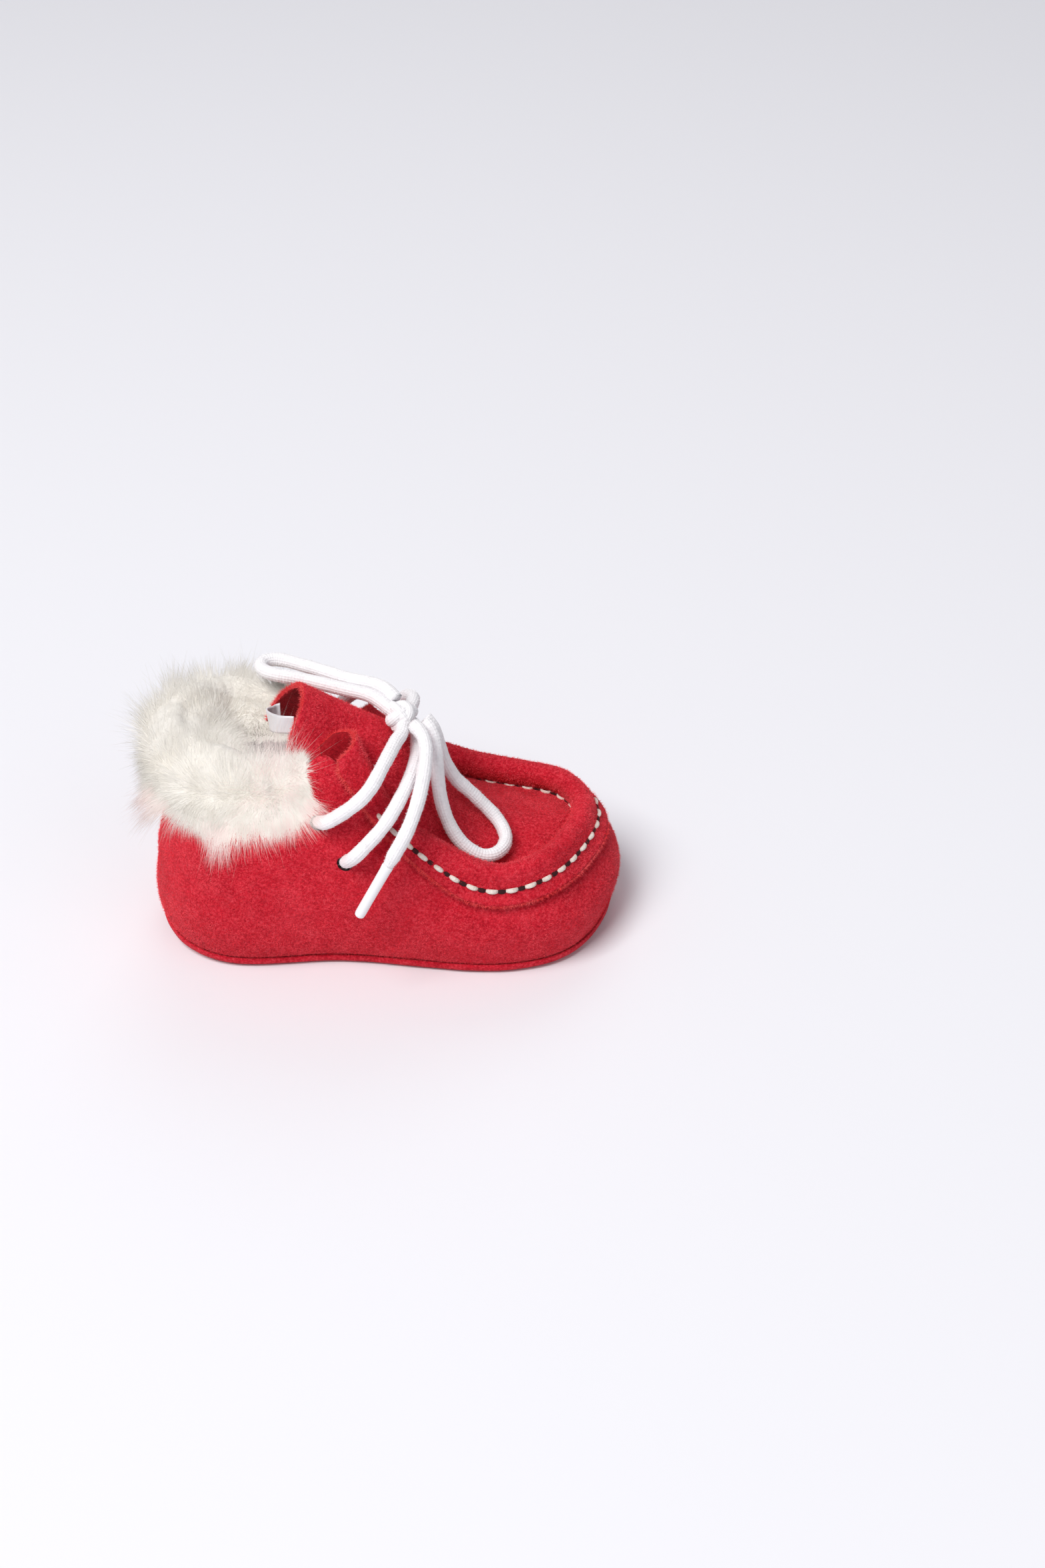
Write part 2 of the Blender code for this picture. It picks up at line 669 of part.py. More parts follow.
def make_fur_cuff(finish):
    """The cuff of fur over the collar's edge, open at the front, its hem drawn out in pointed locks."""
    start = ROW_OF["quarter_outer"] + CUFF_START
    end = ROW_OF["quarter_inner"] - CUFF_START - ROUND
    count = LOCKS * COLUMNS_PER_LOCK + 1
    rows = np.linspace(start, end, count)
    column = np.arange(count)
    locks_in = np.minimum(column, count - 1 - column) / COLUMNS_PER_LOCK
    plump = eased(END_PLUMP, locks_in)
    plump_in = eased(INNER_END_PLUMP, locks_in / LOCKS_BESIDE_TONGUE)
    lock = 0.5 - 0.5 * np.cos(2 * math.pi * column / COLUMNS_PER_LOCK)
    variety = 0.5 + 0.5 * np.sin(LOCK_VARIETY * (column // COLUMNS_PER_LOCK))
    hem = plump * (HEM_BETWEEN_LOCKS + lock * (SHORT_LOCK + (LONG_LOCK - SHORT_LOCK) * variety))
    bulge = 1 + LOCK_BULGE * (lock - 0.5) * (1 + variety)
    edge, normal, over, _ = over_edge(rows)

    def beside_wall(depth, out):
        point, _, _, face = wall_frame(rows, up_at(rows, depth))
        return point + face * np.broadcast_to(out, rows.shape)[:, None]

    rings = []
    inward = WALL + CUFF_AIR + FUR_IN * plump_in * bulge
    for out, up in CUFF.values():
        side = out * FUR_OUT * plump * bulge if out > 0 else out * inward
        if up > 0:
            rings.append(edge + normal * side[:, None] + over * (up * FUR_RISE * plump)[:, None])
        elif out > 0:
            rings.append(beside_wall(-up * FUR_DROP * hem, CUFF_AIR + side))
        else:
            rings.append(beside_wall(-up * FUR_LINING * plump, side))
    for share in np.linspace(1, 0, CUFF_LINING_ROWS):
        rings.append(beside_wall(share * FUR_LINING * plump, -WALL - CUFF_AIR))
    rings.append(edge - normal * (WALL + CUFF_AIR) + over * CUFF_AIR)
    rings.append(edge + normal * CUFF_AIR + over * CUFF_AIR)
    for share in np.linspace(0, 1, CUFF_LINING_ROWS):
        rings.append(beside_wall(share * FUR_DROP * hem, CUFF_AIR))
    grid = np.stack(rings, axis=1)
    size = grid.shape[1]
    faces = ring_faces(count, size, False)
    for first in (0, size * (count - 1)):
        for i in range(size // 2 - 1):
            faces.append((first + i, first + i + 1, first + size - 2 - i, first + size - 1 - i))
    return add_mesh("fur_cuff", grid.reshape(-1, 3), faces, finish)


# The ribbon's middle line, in millimetres, from the tongue's outer wall round behind to its inner one
TAG_ROUTE = (
    (-19.4, -7.0, 59.8),
    (-20.9, -6.6, 59.7),
    (-23.0, -5.2, 59.0),
    (-25.2, -2.0, 57.4),
    (-26.1, 1.2, 56.4),
    (-25.5, 3.4, 55.6),
    (-24.6, 4.4, 55.4),
    (-23.5, 4.7, 55.6),
)


def make_tongue_tag(finish):
    """A blank ribbon set on edge that bows out of the tongue's arch from wall to wall."""
    line = open_spline(np.array(TAG_ROUTE) * MM)(np.linspace(0, len(TAG_ROUTE) - 1, TAG_FACETS + 1))
    tangent = unit(np.gradient(line, axis=0))
    lean = unit(np.array(TAG_LEAN))
    thick = unit(np.cross(tangent, lean))
    rings = []
    for high, deep in ((-0.5, -0.5), (0.5, -0.5), (0.5, 0.5), (-0.5, 0.5)):
        rings.append(line + lean * high * TAG_WIDTH + thick * deep * TAG_THICKNESS)
    grid = np.stack(rings, axis=1)
    count, size = grid.shape[:2]
    faces = ring_faces(count, size, False)
    faces.append(tuple(range(size)))
    faces.append(tuple(range(size * (count - 1), size * count)))
    return add_mesh("tongue_tag", grid.reshape(-1, 3), faces, finish)


def add_lace(name, route, finish):
    """A stretch of round lace through its route's points."""
    points = np.array(route) * MM
    rows = np.linspace(0, len(points) - 1, round((len(points) - 1) * LACE_FACETS) + 1)
    smooth = open_spline(points)(rows)
    curve = bpy.data.curves.new(name, "CURVE")
    curve.dimensions = "3D"
    curve.bevel_depth = LACE / 2
    curve.bevel_resolution = 2
    curve.use_fill_caps = True
    spline = curve.splines.new("POLY")
    spline.points.add(len(smooth) - 1)
    for spot, place in zip(spline.points, smooth):
        spot.co = (*place, 1)
    curve.materials.append(finish)
    thing = bpy.data.objects.new(name, curve)
    bpy.context.scene.collection.objects.link(thing)
    return thing


def add_aglet(name, route, finish):
    """The stiff tip that follows the last point of a lace end."""
    points = np.array(route) * MM
    way = Vector(points[-1] - points[-2]).normalized()
    start = Vector(points[-1]) + way * GAP
    shape = bmesh.new()
    bmesh.ops.create_cone(
        shape, cap_ends=True, segments=AGLET_SIDES, radius1=AGLET / 2, radius2=AGLET / 2, depth=AGLET_LENGTH
    )
    mesh = bpy.data.meshes.new(name)
    shape.to_mesh(mesh)
    shape.free()
    mesh.shade_smooth()
    mesh.set_sharp_from_angle(angle=math.radians(40))
    mesh.materials.append(finish)
    thing = bpy.data.objects.new(name, mesh)
    thing.location = start + way * AGLET_LENGTH / 2
    thing.rotation_mode = "QUATERNION"
    thing.rotation_quaternion = way.to_track_quat("Z", "Y")
    bpy.context.scene.collection.objects.link(thing)
    return thing


def make_knot(finish):
    shape = bmesh.new()
    bmesh.ops.create_icosphere(shape, subdivisions=KNOT_FACETS, radius=0.5)
    bmesh.ops.scale(shape, vec=KNOT_SIZE, verts=shape.verts)
    mesh = bpy.data.meshes.new("lace_knot")
    shape.to_mesh(mesh)
    shape.free()
    mesh.shade_smooth()
    mesh.materials.append(finish)
    knot = bpy.data.objects.new("lace_knot", mesh)
    knot.location = Vector(KNOT_PLACE) * MM
    bpy.context.scene.collection.objects.link(knot)
    return knot


clear_scene()
SUEDE = material("red_suede", (0.62, 0.03, 0.045), 0.9)
FLEECE = material("cream_fleece", (0.82, 0.78, 0.70), 0.95)
COTTON = material("white_cotton", (0.88, 0.86, 0.84), 0.85)
TIP = material("white_tip", (0.9, 0.9, 0.9), 0.35)
SATIN = material("white_satin", (0.86, 0.86, 0.88), 0.4)
make_sole(SUEDE)
make_insole(FLEECE)
make_upper_with_eyelets(SUEDE)
make_apron(SUEDE)
make_fur_cuff(FLEECE)
add_lace("lace_bar", LACE_BAR, COTTON)
add_lace("lace_strand_outer", LACE_STRAND_OUTER, COTTON)
add_lace("lace_strand_inner", LACE_STRAND_INNER, COTTON)
add_lace("lace_end_outer", LACE_END_OUTER, COTTON)
add_lace("lace_end_inner", LACE_END_INNER, COTTON)
add_lace("lace_loop_front", LACE_LOOP_FRONT, COTTON)
add_lace("lace_loop_back", LACE_LOOP_BACK, COTTON)
add_aglet("aglet_outer", LACE_END_OUTER, TIP)
add_aglet("aglet_inner", LACE_END_INNER, TIP)
make_knot(COTTON)
make_tongue_tag(SATIN)
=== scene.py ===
"""Looks of the fur-lined moccasin: red suede with nap and stitches, a cream fur cuff, a white cotton lace.
+X is the toe, +Y the inner side of the foot, +Z up, in metres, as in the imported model."""

import json
import math

import bmesh
import bpy
import numpy as np
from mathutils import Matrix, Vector, noise

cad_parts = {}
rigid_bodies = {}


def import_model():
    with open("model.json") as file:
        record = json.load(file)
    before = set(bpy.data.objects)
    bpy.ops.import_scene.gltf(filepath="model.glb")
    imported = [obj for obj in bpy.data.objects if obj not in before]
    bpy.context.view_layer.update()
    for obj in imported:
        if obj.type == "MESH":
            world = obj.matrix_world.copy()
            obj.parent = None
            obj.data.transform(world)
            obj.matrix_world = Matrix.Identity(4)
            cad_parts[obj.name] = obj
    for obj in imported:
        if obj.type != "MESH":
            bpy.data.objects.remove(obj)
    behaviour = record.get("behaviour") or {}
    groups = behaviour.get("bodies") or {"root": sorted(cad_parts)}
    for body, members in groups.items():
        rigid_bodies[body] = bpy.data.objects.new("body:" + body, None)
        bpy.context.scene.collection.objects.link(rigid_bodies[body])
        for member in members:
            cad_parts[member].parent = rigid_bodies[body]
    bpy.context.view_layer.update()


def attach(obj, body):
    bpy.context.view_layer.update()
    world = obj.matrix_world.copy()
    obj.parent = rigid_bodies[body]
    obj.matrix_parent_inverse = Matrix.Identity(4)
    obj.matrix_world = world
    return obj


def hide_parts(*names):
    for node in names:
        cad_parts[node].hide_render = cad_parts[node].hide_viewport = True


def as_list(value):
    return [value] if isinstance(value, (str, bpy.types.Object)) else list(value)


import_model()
DICE = np.random.default_rng(7)
MM = 0.001
BODY = "root"

# Main sizes of the last
SOLE_LENGTH = 113.5 * MM
BALL_WIDTH = 53 * MM
TOE_HEIGHT = 28 * MM
INSTEP_HEIGHT = 57 * MM
COLLAR_HEIGHT = 49 * MM

# Leather and clearances
GAP = 0.3 * MM
SOLE_THICKNESS = 1.8 * MM
RIM_CURL = 1.0 * MM
RIM_CURVE = 5 * MM
RIM_STEP = 0.5 * MM
WALL = 2.0 * MM
APRON = 1.5 * MM
INSOLE_THICKNESS = 2.6 * MM
INSOLE_FLARE = 1.6 * MM
BELLY_HEIGHT = 8 * MM
BELLY_OUT = 2.2 * MM

# Fibres on the suede, on its cut edges and on the lace
NAP_LENGTH = 0.60 * MM
NAP_WIDTH = 0.09 * MM
NAP_UPPER = 80000
NAP_APRON = 62000
EDGE_COUNT = 12000
EDGE_LENGTH = 1.0 * MM
EDGE_WIDTH = 0.11 * MM
FUZZ_COUNT = 2600
FUZZ_LENGTH = 0.45 * MM
FUZZ_WIDTH = 0.06 * MM

# The apron's fold over the upper's top edge
LIP_DEPTH = 7 * MM
INNER_DEPTH = 2.5 * MM
FOLD_AIR = 2.6 * MM
FOLD_OPENING = 2.4 * MM
FOLD_SLIP = 6 * MM
FOLD_BACK = 0.5
LEAST_AIR = 0.3 * MM
FOOT_BEND = 7 * MM
FLAP_REACH = 4.5 * MM
FLAP_ROWS = 0.9
LIP_LIFT = 0.45 * MM
FLAP_LIFT = 0.5 * MM

# Eyelets, lace and its tips
EYELET_RADIUS = 1.9 * MM
EYELET_SIDES = 32
LACE = 3.4 * MM
AGLET = 2.6 * MM
AGLET_LENGTH = 15 * MM
KNOT_PLACE = (5.7, -1.0, 57.2)

# Ribbon tag inside the tongue
TAG_THICKNESS = 0.35 * MM
TAG_WIDTH = 4.4 * MM
TAG_LEAN = (0.0, 0.25, 0.97)
TAG_RIPPLE = 0.28 * MM
TAG_STEPS = 41
TAG_COLUMNS = 9

# Facets
COLUMNS_PER_SECTION = 18
WALL_ROWS = 46
LIP_ROWS = 10
CREST_FACETS = 16
BASIN_ROWS = 26
TONGUE_ROWS = 26
TUBE_SIDES = 16

# Sections round the foot, from the back of the heel along the outer side to the toe and home along the
# inner side. sole_x and top_x are shares of SOLE_LENGTH, sole_y and top_y of BALL_WIDTH, belly and swell of
# BELLY_OUT, lift of RIM_CURL, and top_z of the height that the row follows.
SECTION_COLUMNS = ("sole_x", "sole_y", "lift", "belly", "swell", "top_x", "top_y", "follows", "top_z")
SECTIONS = {
    "heel_back": (-0.488, -0.010, 2.2, 0.55, 0.10, -0.434, -0.008, "collar", 1.02),
    "heel_outer_corner": (-0.438, -0.290, 1.8, 0.55, 0.15, -0.390, -0.225, "collar", 1.01),
    "heel_outer": (-0.318, -0.427, 1.0, 0.85, 0.55, -0.305, -0.325, "collar", 1.00),
    "waist_outer": (-0.165, -0.420, 0.8, 1.05, 0.90, -0.190, -0.300, "collar", 1.02),
    "quarter_outer": (-0.050, -0.430, 0.8, 1.15, 1.60, -0.105, -0.290, "instep", 1.00),
    "throat_outer": (0.060, -0.470, 0.8, 1.10, 1.20, -0.008, -0.372, "instep", 0.79),
    "bend_outer": (0.160, -0.505, 0.8, 0.90, 0.60, 0.120, -0.415, "toe", 1.13),
    "ball_outer": (0.262, -0.512, 0.9, 0.85, 0.40, 0.228, -0.442, "toe", 0.94),
    "toe_outer": (0.372, -0.450, 1.4, 0.80, 0.35, 0.330, -0.360, "toe", 0.94),
    "toe_outer_corner": (0.452, -0.270, 2.1, 0.85, 0.40, 0.396, -0.190, "toe", 0.95),
    "toe_tip": (0.492, 0.020, 2.4, 0.95, 0.45, 0.436, 0.045, "toe", 0.96),
    "toe_inner_corner": (0.460, 0.300, 2.1, 0.85, 0.40, 0.404, 0.247, "toe", 0.96),
    "toe_inner": (0.372, 0.432, 1.4, 0.80, 0.35, 0.335, 0.345, "toe", 0.95),
    "ball_inner": (0.262, 0.470, 0.9, 0.85, 0.40, 0.228, 0.405, "toe", 0.96),
    "bend_inner": (0.160, 0.455, 0.8, 0.95, 0.60, 0.120, 0.375, "toe", 1.15),
    "throat_inner": (0.060, 0.412, 0.8, 1.10, 1.20, 0.000, 0.345, "instep", 0.72),
    "quarter_inner": (-0.050, 0.375, 0.8, 1.15, 1.50, -0.100, 0.275, "instep", 0.865),
    "waist_inner": (-0.165, 0.372, 0.8, 1.05, 0.90, -0.190, 0.290, "collar", 1.02),
    "heel_inner": (-0.318, 0.402, 1.0, 0.85, 0.55, -0.305, 0.312, "collar", 1.00),
    "heel_inner_corner": (-0.438, 0.268, 1.8, 0.55, 0.15, -0.390, 0.210, "collar", 1.01),
}
HEIGHTS = {"toe": TOE_HEIGHT, "instep": INSTEP_HEIGHT, "collar": COLLAR_HEIGHT}
WALL_NODES = (0.0, 0.22, 0.60, 1.0)

# The apron's middle line and fold: each column is a share of one size
SPINE_COLUMNS = {
    "x": SOLE_LENGTH,
    "y": BALL_WIDTH,
    "z": INSTEP_HEIGHT,
    "lip": LIP_DEPTH,
    "air": FOLD_AIR,
    "open": FOLD_OPENING,
    "slip": FOLD_SLIP,
}
SPINE = {
    "quarter": (-0.078, -0.020, 1.070, 0.15, 3.20, 2.00, 3.60),
    "throat": (0.030, -0.010, 0.925, 0.45, 0.35, 0.25, 0.00),
    "bend": (0.110, -0.005, 0.680, 0.85, 0.20, 0.00, 0.00),
    "ball": (0.190, -0.005, 0.515, 1.00, 0.05, 0.00, 0.00),
    "toe": (0.280, -0.005, 0.455, 1.00, 0.00, 0.00, 0.00),
    "toe_corner": (0.355, 0.015, 0.440, 1.00, 0.00, 0.00, 0.00),
    "toe_tip": (0.402, 0.035, 0.435, 1.00, 0.00, 0.00, 0.00),
}

# The tongue's top edge from its outer corner over the crown to its inner corner, in the same shares
TONGUE_RIM = {
    "outer_corner": (-0.186, -0.185, 0.955),
    "outer_shoulder": (-0.170, -0.180, 1.075),
    "outer_crown": (-0.153, -0.112, 1.140),
    "crown": (-0.158, 0.000, 1.155),
    "inner_crown": (-0.184, 0.078, 1.098),
    "inner_shoulder": (-0.215, 0.128, 1.010),
    "inner_corner": (-0.240, 0.155, 0.900),
}

# The eyelets, by section and by share of the wall's height
EYELETS = {
    "upper_outer": ("quarter_outer", -0.42, 0.74),
    "lower_outer": ("quarter_outer", 0.05, 0.575),
    "upper_inner": ("quarter_inner", 0.42, 0.78),
    "lower_inner": ("quarter_inner", -0.05, 0.63),
}

# Routes of the lace, in millimetres, from where each stretch leaves an eyelet or the knot
LACE_BAR = (
    (-8.7, -26.0, 33.6), (-6.2, -26.9, 36.4), (-3.4, -26.6, 39.4), (-0.4, -25.8, 42.6),
    (2.0, -24.4, 45.4), (3.9, -22.4, 47.7), (5.6, -19.2, 49.3), (6.9, -15.6, 50.1),
    (8.0, -11.5, 50.9), (8.6, -7.0, 51.5), (8.7, -2.5, 51.8), (8.4, 2.2, 51.2),
    (7.6, 7.0, 49.6), (6.4, 12.0, 47.6), (4.8, 17.0, 45.6), (2.4, 21.2, 42.7),
    (-0.8, 23.7, 39.0), (-4.6, 24.0, 35.6), (-8.7, 23.4, 32.4),
)
LACE_STRAND_OUTER = (
    (-14.9, -21.7, 42.0), (-12.8, -22.9, 43.6), (-10.3, -23.8, 45.5), (-7.4, -24.6, 48.2),
    (-4.4, -24.4, 50.8), (-1.6, -22.4, 53.2), (0.6, -18.8, 55.4), (2.6, -14.0, 56.6),
    (4.2, -9.6, 57.0), (5.2, -6.8, 57.0),
)
LACE_STRAND_INNER = (
    (2.4, 3.4, 57.4), (0.2, 6.2, 57.6), (-2.2, 9.4, 57.0), (-4.9, 13.2, 55.2),
    (-7.6, 16.6, 51.8), (-10.2, 18.8, 47.8), (-12.6, 19.7, 44.0), (-14.5, 19.7, 40.8),
)
LACE_END_OUTER = (
    (8.0, -5.4, 58.2), (10.0, -8.4, 57.4), (10.8, -11.8, 55.6), (10.5, -15.4, 53.4),
    (9.6, -19.6, 50.5), (8.0, -24.0, 46.9), (5.7, -27.4, 42.8), (3.5, -29.1, 39.4),
    (2.6, -29.5, 37.8), (1.7, -29.8, 36.2),
)
LACE_END_INNER = (
    (6.9, 4.6, 56.0), (7.7, 7.7, 55.7), (7.6, 10.5, 54.9), (7.0, 13.8, 53.0),
    (6.0, 18.4, 50.0), (4.8, 22.4, 46.2), (3.4, 25.8, 41.2), (2.2, 27.6, 35.6),
    (1.6, 28.0, 31.4),
)
LACE_LOOP_FRONT = (
    (10.6, -3.0, 57.4), (12.2, -4.6, 55.6), (13.0, -6.4, 52.4), (13.2, -8.6, 48.4),
    (13.6, -10.8, 43.2), (14.7, -12.5, 38.0), (16.7, -14.2, 33.4), (19.6, -15.8, 30.1),
    (23.0, -16.6, 28.2), (26.2, -15.8, 27.6), (28.5, -13.0, 27.6), (29.1, -9.6, 28.1),
    (28.0, -6.4, 29.4), (25.8, -4.2, 31.4), (23.2, -3.2, 34.0), (20.6, -2.7, 36.8),
    (18.0, -2.5, 39.6), (15.9, -2.4, 43.2), (14.4, -2.2, 47.2), (13.4, -1.6, 51.0),
    (12.3, -0.4, 54.0), (10.7, 0.7, 55.8),
)
LACE_LOOP_BACK = (
    (3.9, -1.0, 58.6), (1.5, 0.4, 59.8), (-1.7, 3.3, 60.4), (-6.2, 5.4, 60.6),
    (-11.0, 7.4, 60.7), (-16.4, 10.0, 60.6), (-21.4, 11.4, 60.9), (-25.6, 12.8, 61.0),
    (-28.2, 15.4, 60.9), (-27.8, 18.6, 60.7), (-24.2, 19.6, 60.5), (-19.8, 17.8, 60.4),
    (-15.2, 15.4, 60.4), (-10.6, 12.4, 60.6), (-6.0, 9.2, 61.2), (-1.7, 7.0, 61.6),
    (1.7, 4.4, 61.5), (4.0, 1.9, 60.4),
)


def spline(values, closed=False):
    """A smooth curve through the rows of values, as a function of the row number. It is straight at its ends
    unless it is closed."""
    values = np.asarray(values, float)
    count = len(values)
    before, after = np.roll(values, 1, 0), np.roll(values, -1, 0)
    matrix = 4 * np.eye(count) + np.roll(np.eye(count), 1, 1) + np.roll(np.eye(count), -1, 1)
    right = 6 * (after - 2 * values + before)
    if not closed:
        matrix[[0, -1]] = np.eye(count)[[0, -1]]
        right[[0, -1]] = 0
    bends = np.linalg.solve(matrix, right)

    def at(rows):
        rows = np.asarray(rows, float)
        low = np.floor(rows).astype(int)
        if not closed:
            low = np.clip(low, 0, count - 2)
        share = (rows - low)[..., None]
        rest = 1 - share
        here, there = low % count, (low + 1) % count
        curve = (rest**3 - rest) * bends[here] + (share**3 - share) * bends[there]
        return rest * values[here] + share * values[there] + curve / 6

    return at


def guide_rows():
    """For each section: the sole's rim, its lift, the belly and swell, and the top, in metres."""
    rows = []
    for section in SECTIONS.values():
        row = dict(zip(SECTION_COLUMNS, section))
        rows.append(
            (
                row["sole_x"] * SOLE_LENGTH,
                row["sole_y"] * BALL_WIDTH,
                row["lift"] * RIM_CURL,
                row["belly"] * BELLY_OUT,
                row["swell"] * BELLY_OUT,
                row["top_x"] * SOLE_LENGTH,
                row["top_y"] * BALL_WIDTH,
                row["top_z"] * HEIGHTS[row["follows"]],
            )
        )
    return np.array(rows)


def spine_rows():
    """The middle line and the fold's lip, air, opening and slip, in metres."""
    return np.array(list(SPINE.values())) * list(SPINE_COLUMNS.values())


GUIDES = spline(guide_rows(), closed=True)
ROW_OF = {name: i for i, name in enumerate(SECTIONS)}
ROUND = len(SECTIONS)
MIDDLE = spline(spine_rows())
RIM = spline(np.array(list(TONGUE_RIM.values())) * (SOLE_LENGTH, BALL_WIDTH, INSTEP_HEIGHT))
FOLD_START = ROW_OF["quarter_outer"] + FOLD_BACK
FOLD_END = ROW_OF["quarter_inner"] - FOLD_BACK
TOE = ROW_OF["toe_tip"]


def unit(vectors):
    return vectors / np.maximum(np.linalg.norm(vectors, axis=-1, keepdims=True), 1e-12)


def outline(rows):
    """The rim of the sole in plan, and the way outward there."""
    step = 0.01
    point = GUIDES(rows)[..., :2]
    along = GUIDES(rows + step)[..., :2] - GUIDES(rows - step)[..., :2]
    outward = unit(np.stack([along[..., 1], -along[..., 0]], axis=-1))
    return point, outward


def rim_height(rows, inset):
    """The height of the sole's underside at a distance in from its rim: flat inside, curled at the rim."""
    share = np.clip(1 - inset / RIM_CURVE, 0, 1)
    return GUIDES(rows)[..., 2] * share**2


def wall(rows, up):
    """The upper's outer face, up running from 0 at the sole to 1 at the top edge."""
    rows, up = np.broadcast_arrays(np.asarray(rows, float), np.asarray(up, float))
    guide = GUIDES(rows)
    rim, outward = outline(rows)
    flat_out = np.concatenate([outward, np.zeros_like(outward[..., :1])], axis=-1)
    base_z = rim_height(rows, RIM_STEP) + SOLE_THICKNESS + GAP
    base = np.concatenate([rim - outward * RIM_STEP, base_z[..., None]], axis=-1)
    belly = base + flat_out * guide[..., 3:4] + np.array((0, 0, BELLY_HEIGHT))
    top = guide[..., 5:8]
    middle = (belly + top) / 2 + flat_out * guide[..., 4:5]
    point = np.zeros_like(base)
    for i, guide_point in enumerate((base, belly, middle, top)):
        weight = np.ones_like(up)
        for j, node in enumerate(WALL_NODES):
            if j != i:
                weight = weight * (up - node) / (WALL_NODES[i] - node)
        point = point + weight[..., None] * guide_point
    return point


def wall_frame(rows, up):
    """The wall's point, its two slopes, and the outward normal."""
    step = 1e-3
    along = (wall(rows + step, up) - wall(rows - step, up)) / (2 * step)
    rise = (wall(rows, up + step) - wall(rows, up - step)) / (2 * step)
    return wall(rows, up), along, rise, unit(np.cross(along, rise))


def middle_at(rows):
    """The middle line and fold sizes that belong to each row, the same on both sides of the toe."""
    return MIDDLE(TOE - np.abs(rows - TOE) - ROW_OF["quarter_outer"])


def over_edge(rows):
    """At the upper's top edge: its line, the outward normal, the way over the edge and that way's slant."""
    point, along, rise, normal = wall_frame(rows, np.ones_like(rows))
    along = unit(along)
    over = unit(rise - (rise * along).sum(-1, keepdims=True) * along)
    slant = (unit(rise) * over).sum(-1)
    return point, normal, over, slant


def up_at(rows, depth):
    """How far up the wall a line runs that is this deep below the top edge, measured square to the edge."""
    _, _, rise, _ = wall_frame(rows, np.full_like(rows, 0.9))
    _, _, _, slant = over_edge(rows)
    return 1 - depth / (np.linalg.norm(rise, axis=-1) * slant)


def fold_line(rows, middle):
    """The apron's crossing line for each row, from the lip over the fold and down to the middle line."""
    outside = GAP + APRON / 2
    lip, air, opening, slip = middle[:, 3], middle[:, 4:5], middle[:, 5:6], middle[:, 6:7]
    inside = WALL + outside + opening
    radius = (inside + outside) / 2
    lines = []
    edge, normal, over, _ = over_edge(rows)
    back = np.cross(normal, over) * np.sign(TOE - rows)[:, None]
    near_end = np.clip(1 - (rows - FOLD_START) / FLAP_ROWS, 0, 1)[:, None]
    flap = back * FLAP_REACH * near_end**2
    for up in np.linspace(0, 1, LIP_ROWS):
        point, _, _, face = wall_frame(rows, up_at(rows, lip * (1 - up)))
        lift = LIP_LIFT * (1 - up) ** 2 + FLAP_LIFT * near_end**3
        lines.append(point + face * (outside + lift) + flap)
    for facet in range(CREST_FACETS + 1):
        turn = math.pi * facet / CREST_FACETS
        sideways = outside - radius + radius * math.cos(turn)
        top = edge + normal * sideways + over * (LEAST_AIR + air + radius * math.sin(turn))
        lines.append(top + back * slip * facet / CREST_FACETS + flap * (1 - facet / CREST_FACETS))
    for share in (0.0, 1.0):
        point, _, _, normal = wall_frame(rows, up_at(rows, np.full_like(rows, INNER_DEPTH * share)))
        lines.append(point - normal * inside + back * slip)
    foot = lines[-1]
    spine = middle[:, :3]
    across = spine - foot
    reach = np.linalg.norm(across, axis=-1, keepdims=True)
    level = across * np.array((1, 1, 0))
    for step in range(1, BASIN_ROWS + 1):
        t = (step / BASIN_ROWS) ** 1.3
        start = (2 * t**3 - 3 * t**2 + 1) * foot + (t**3 - 2 * t**2 + t) * -over * FOOT_BEND
        end = (3 * t**2 - 2 * t**3) * spine + (t**3 - t**2) * unit(level) * reach
        lines.append(start + end)
    return np.stack(lines)


def roughly(points, size, strength, seed):
    """Soft random heights at the points, with bumps of about this size."""
    shift = Vector((seed * 3.1, seed * 1.7, seed * 0.9))
    heights = [noise.noise(Vector(p) / size + shift) for p in points]
    return strength * np.array(heights)


# Soft creases, each from one place on the wall to another: row and share of height, then depth and half width
# in millimetres. The welt beside a crease is a share of its depth and lies so many half widths away.
WELT_SHARE = 0.45
WELT_PLACE = 1.9
CREASES = {
    "ankle_front": (4.35, 0.52, 4.95, 0.30, 0.35, 2.6),
    "ankle_low": (3.55, 0.40, 4.55, 0.20, 0.30, 3.0),
    "bend_high": (5.00, 0.62, 5.85, 0.40, 0.40, 2.4),
    "bend_low": (5.70, 0.30, 6.70, 0.42, 0.25, 2.6),
    "heel_pull": (1.10, 0.55, 2.30, 0.30, 0.30, 3.2),
    "heel_back": (-0.70, 0.42, 0.60, 0.34, 0.28, 3.0),
    "toe_side": (8.10, 0.55, 8.90, 0.42, 0.22, 2.4),
    "inner_bend": (14.10, 0.42, 15.10, 0.60, 0.35, 2.6),
    "inner_ankle": (15.30, 0.30, 16.50, 0.48, 0.30, 2.8),
    "inner_heel": (17.50, 0.50, 18.70, 0.30, 0.28, 3.2),
}


def crease_depth(points):
    """How far the creases press in at each point, with a low welt beside each."""
    depth = np.zeros(len(points))
    share = np.linspace(0, 1, 24)
    for row, up, row_end, up_end, deep, half_width in CREASES.values():
        line = wall(row + (row_end - row) * share, up + (up_end - up) * share)
        away = np.linalg.norm(points[:, None, :] - line[None, :, :], axis=-1)
        fade = np.sin(np.pi * np.clip(share[away.argmin(1)], 0.04, 0.96))
        beside = away.min(1) / (half_width * MM)
        groove = np.exp(-(beside**2)) - WELT_SHARE * np.exp(-((beside - WELT_PLACE) ** 2))
        depth += deep * MM * fade * groove
    return depth


def add_object(name, data):
    thing = bpy.data.objects.new(name, data)
    bpy.context.scene.collection.objects.link(thing)
    return thing


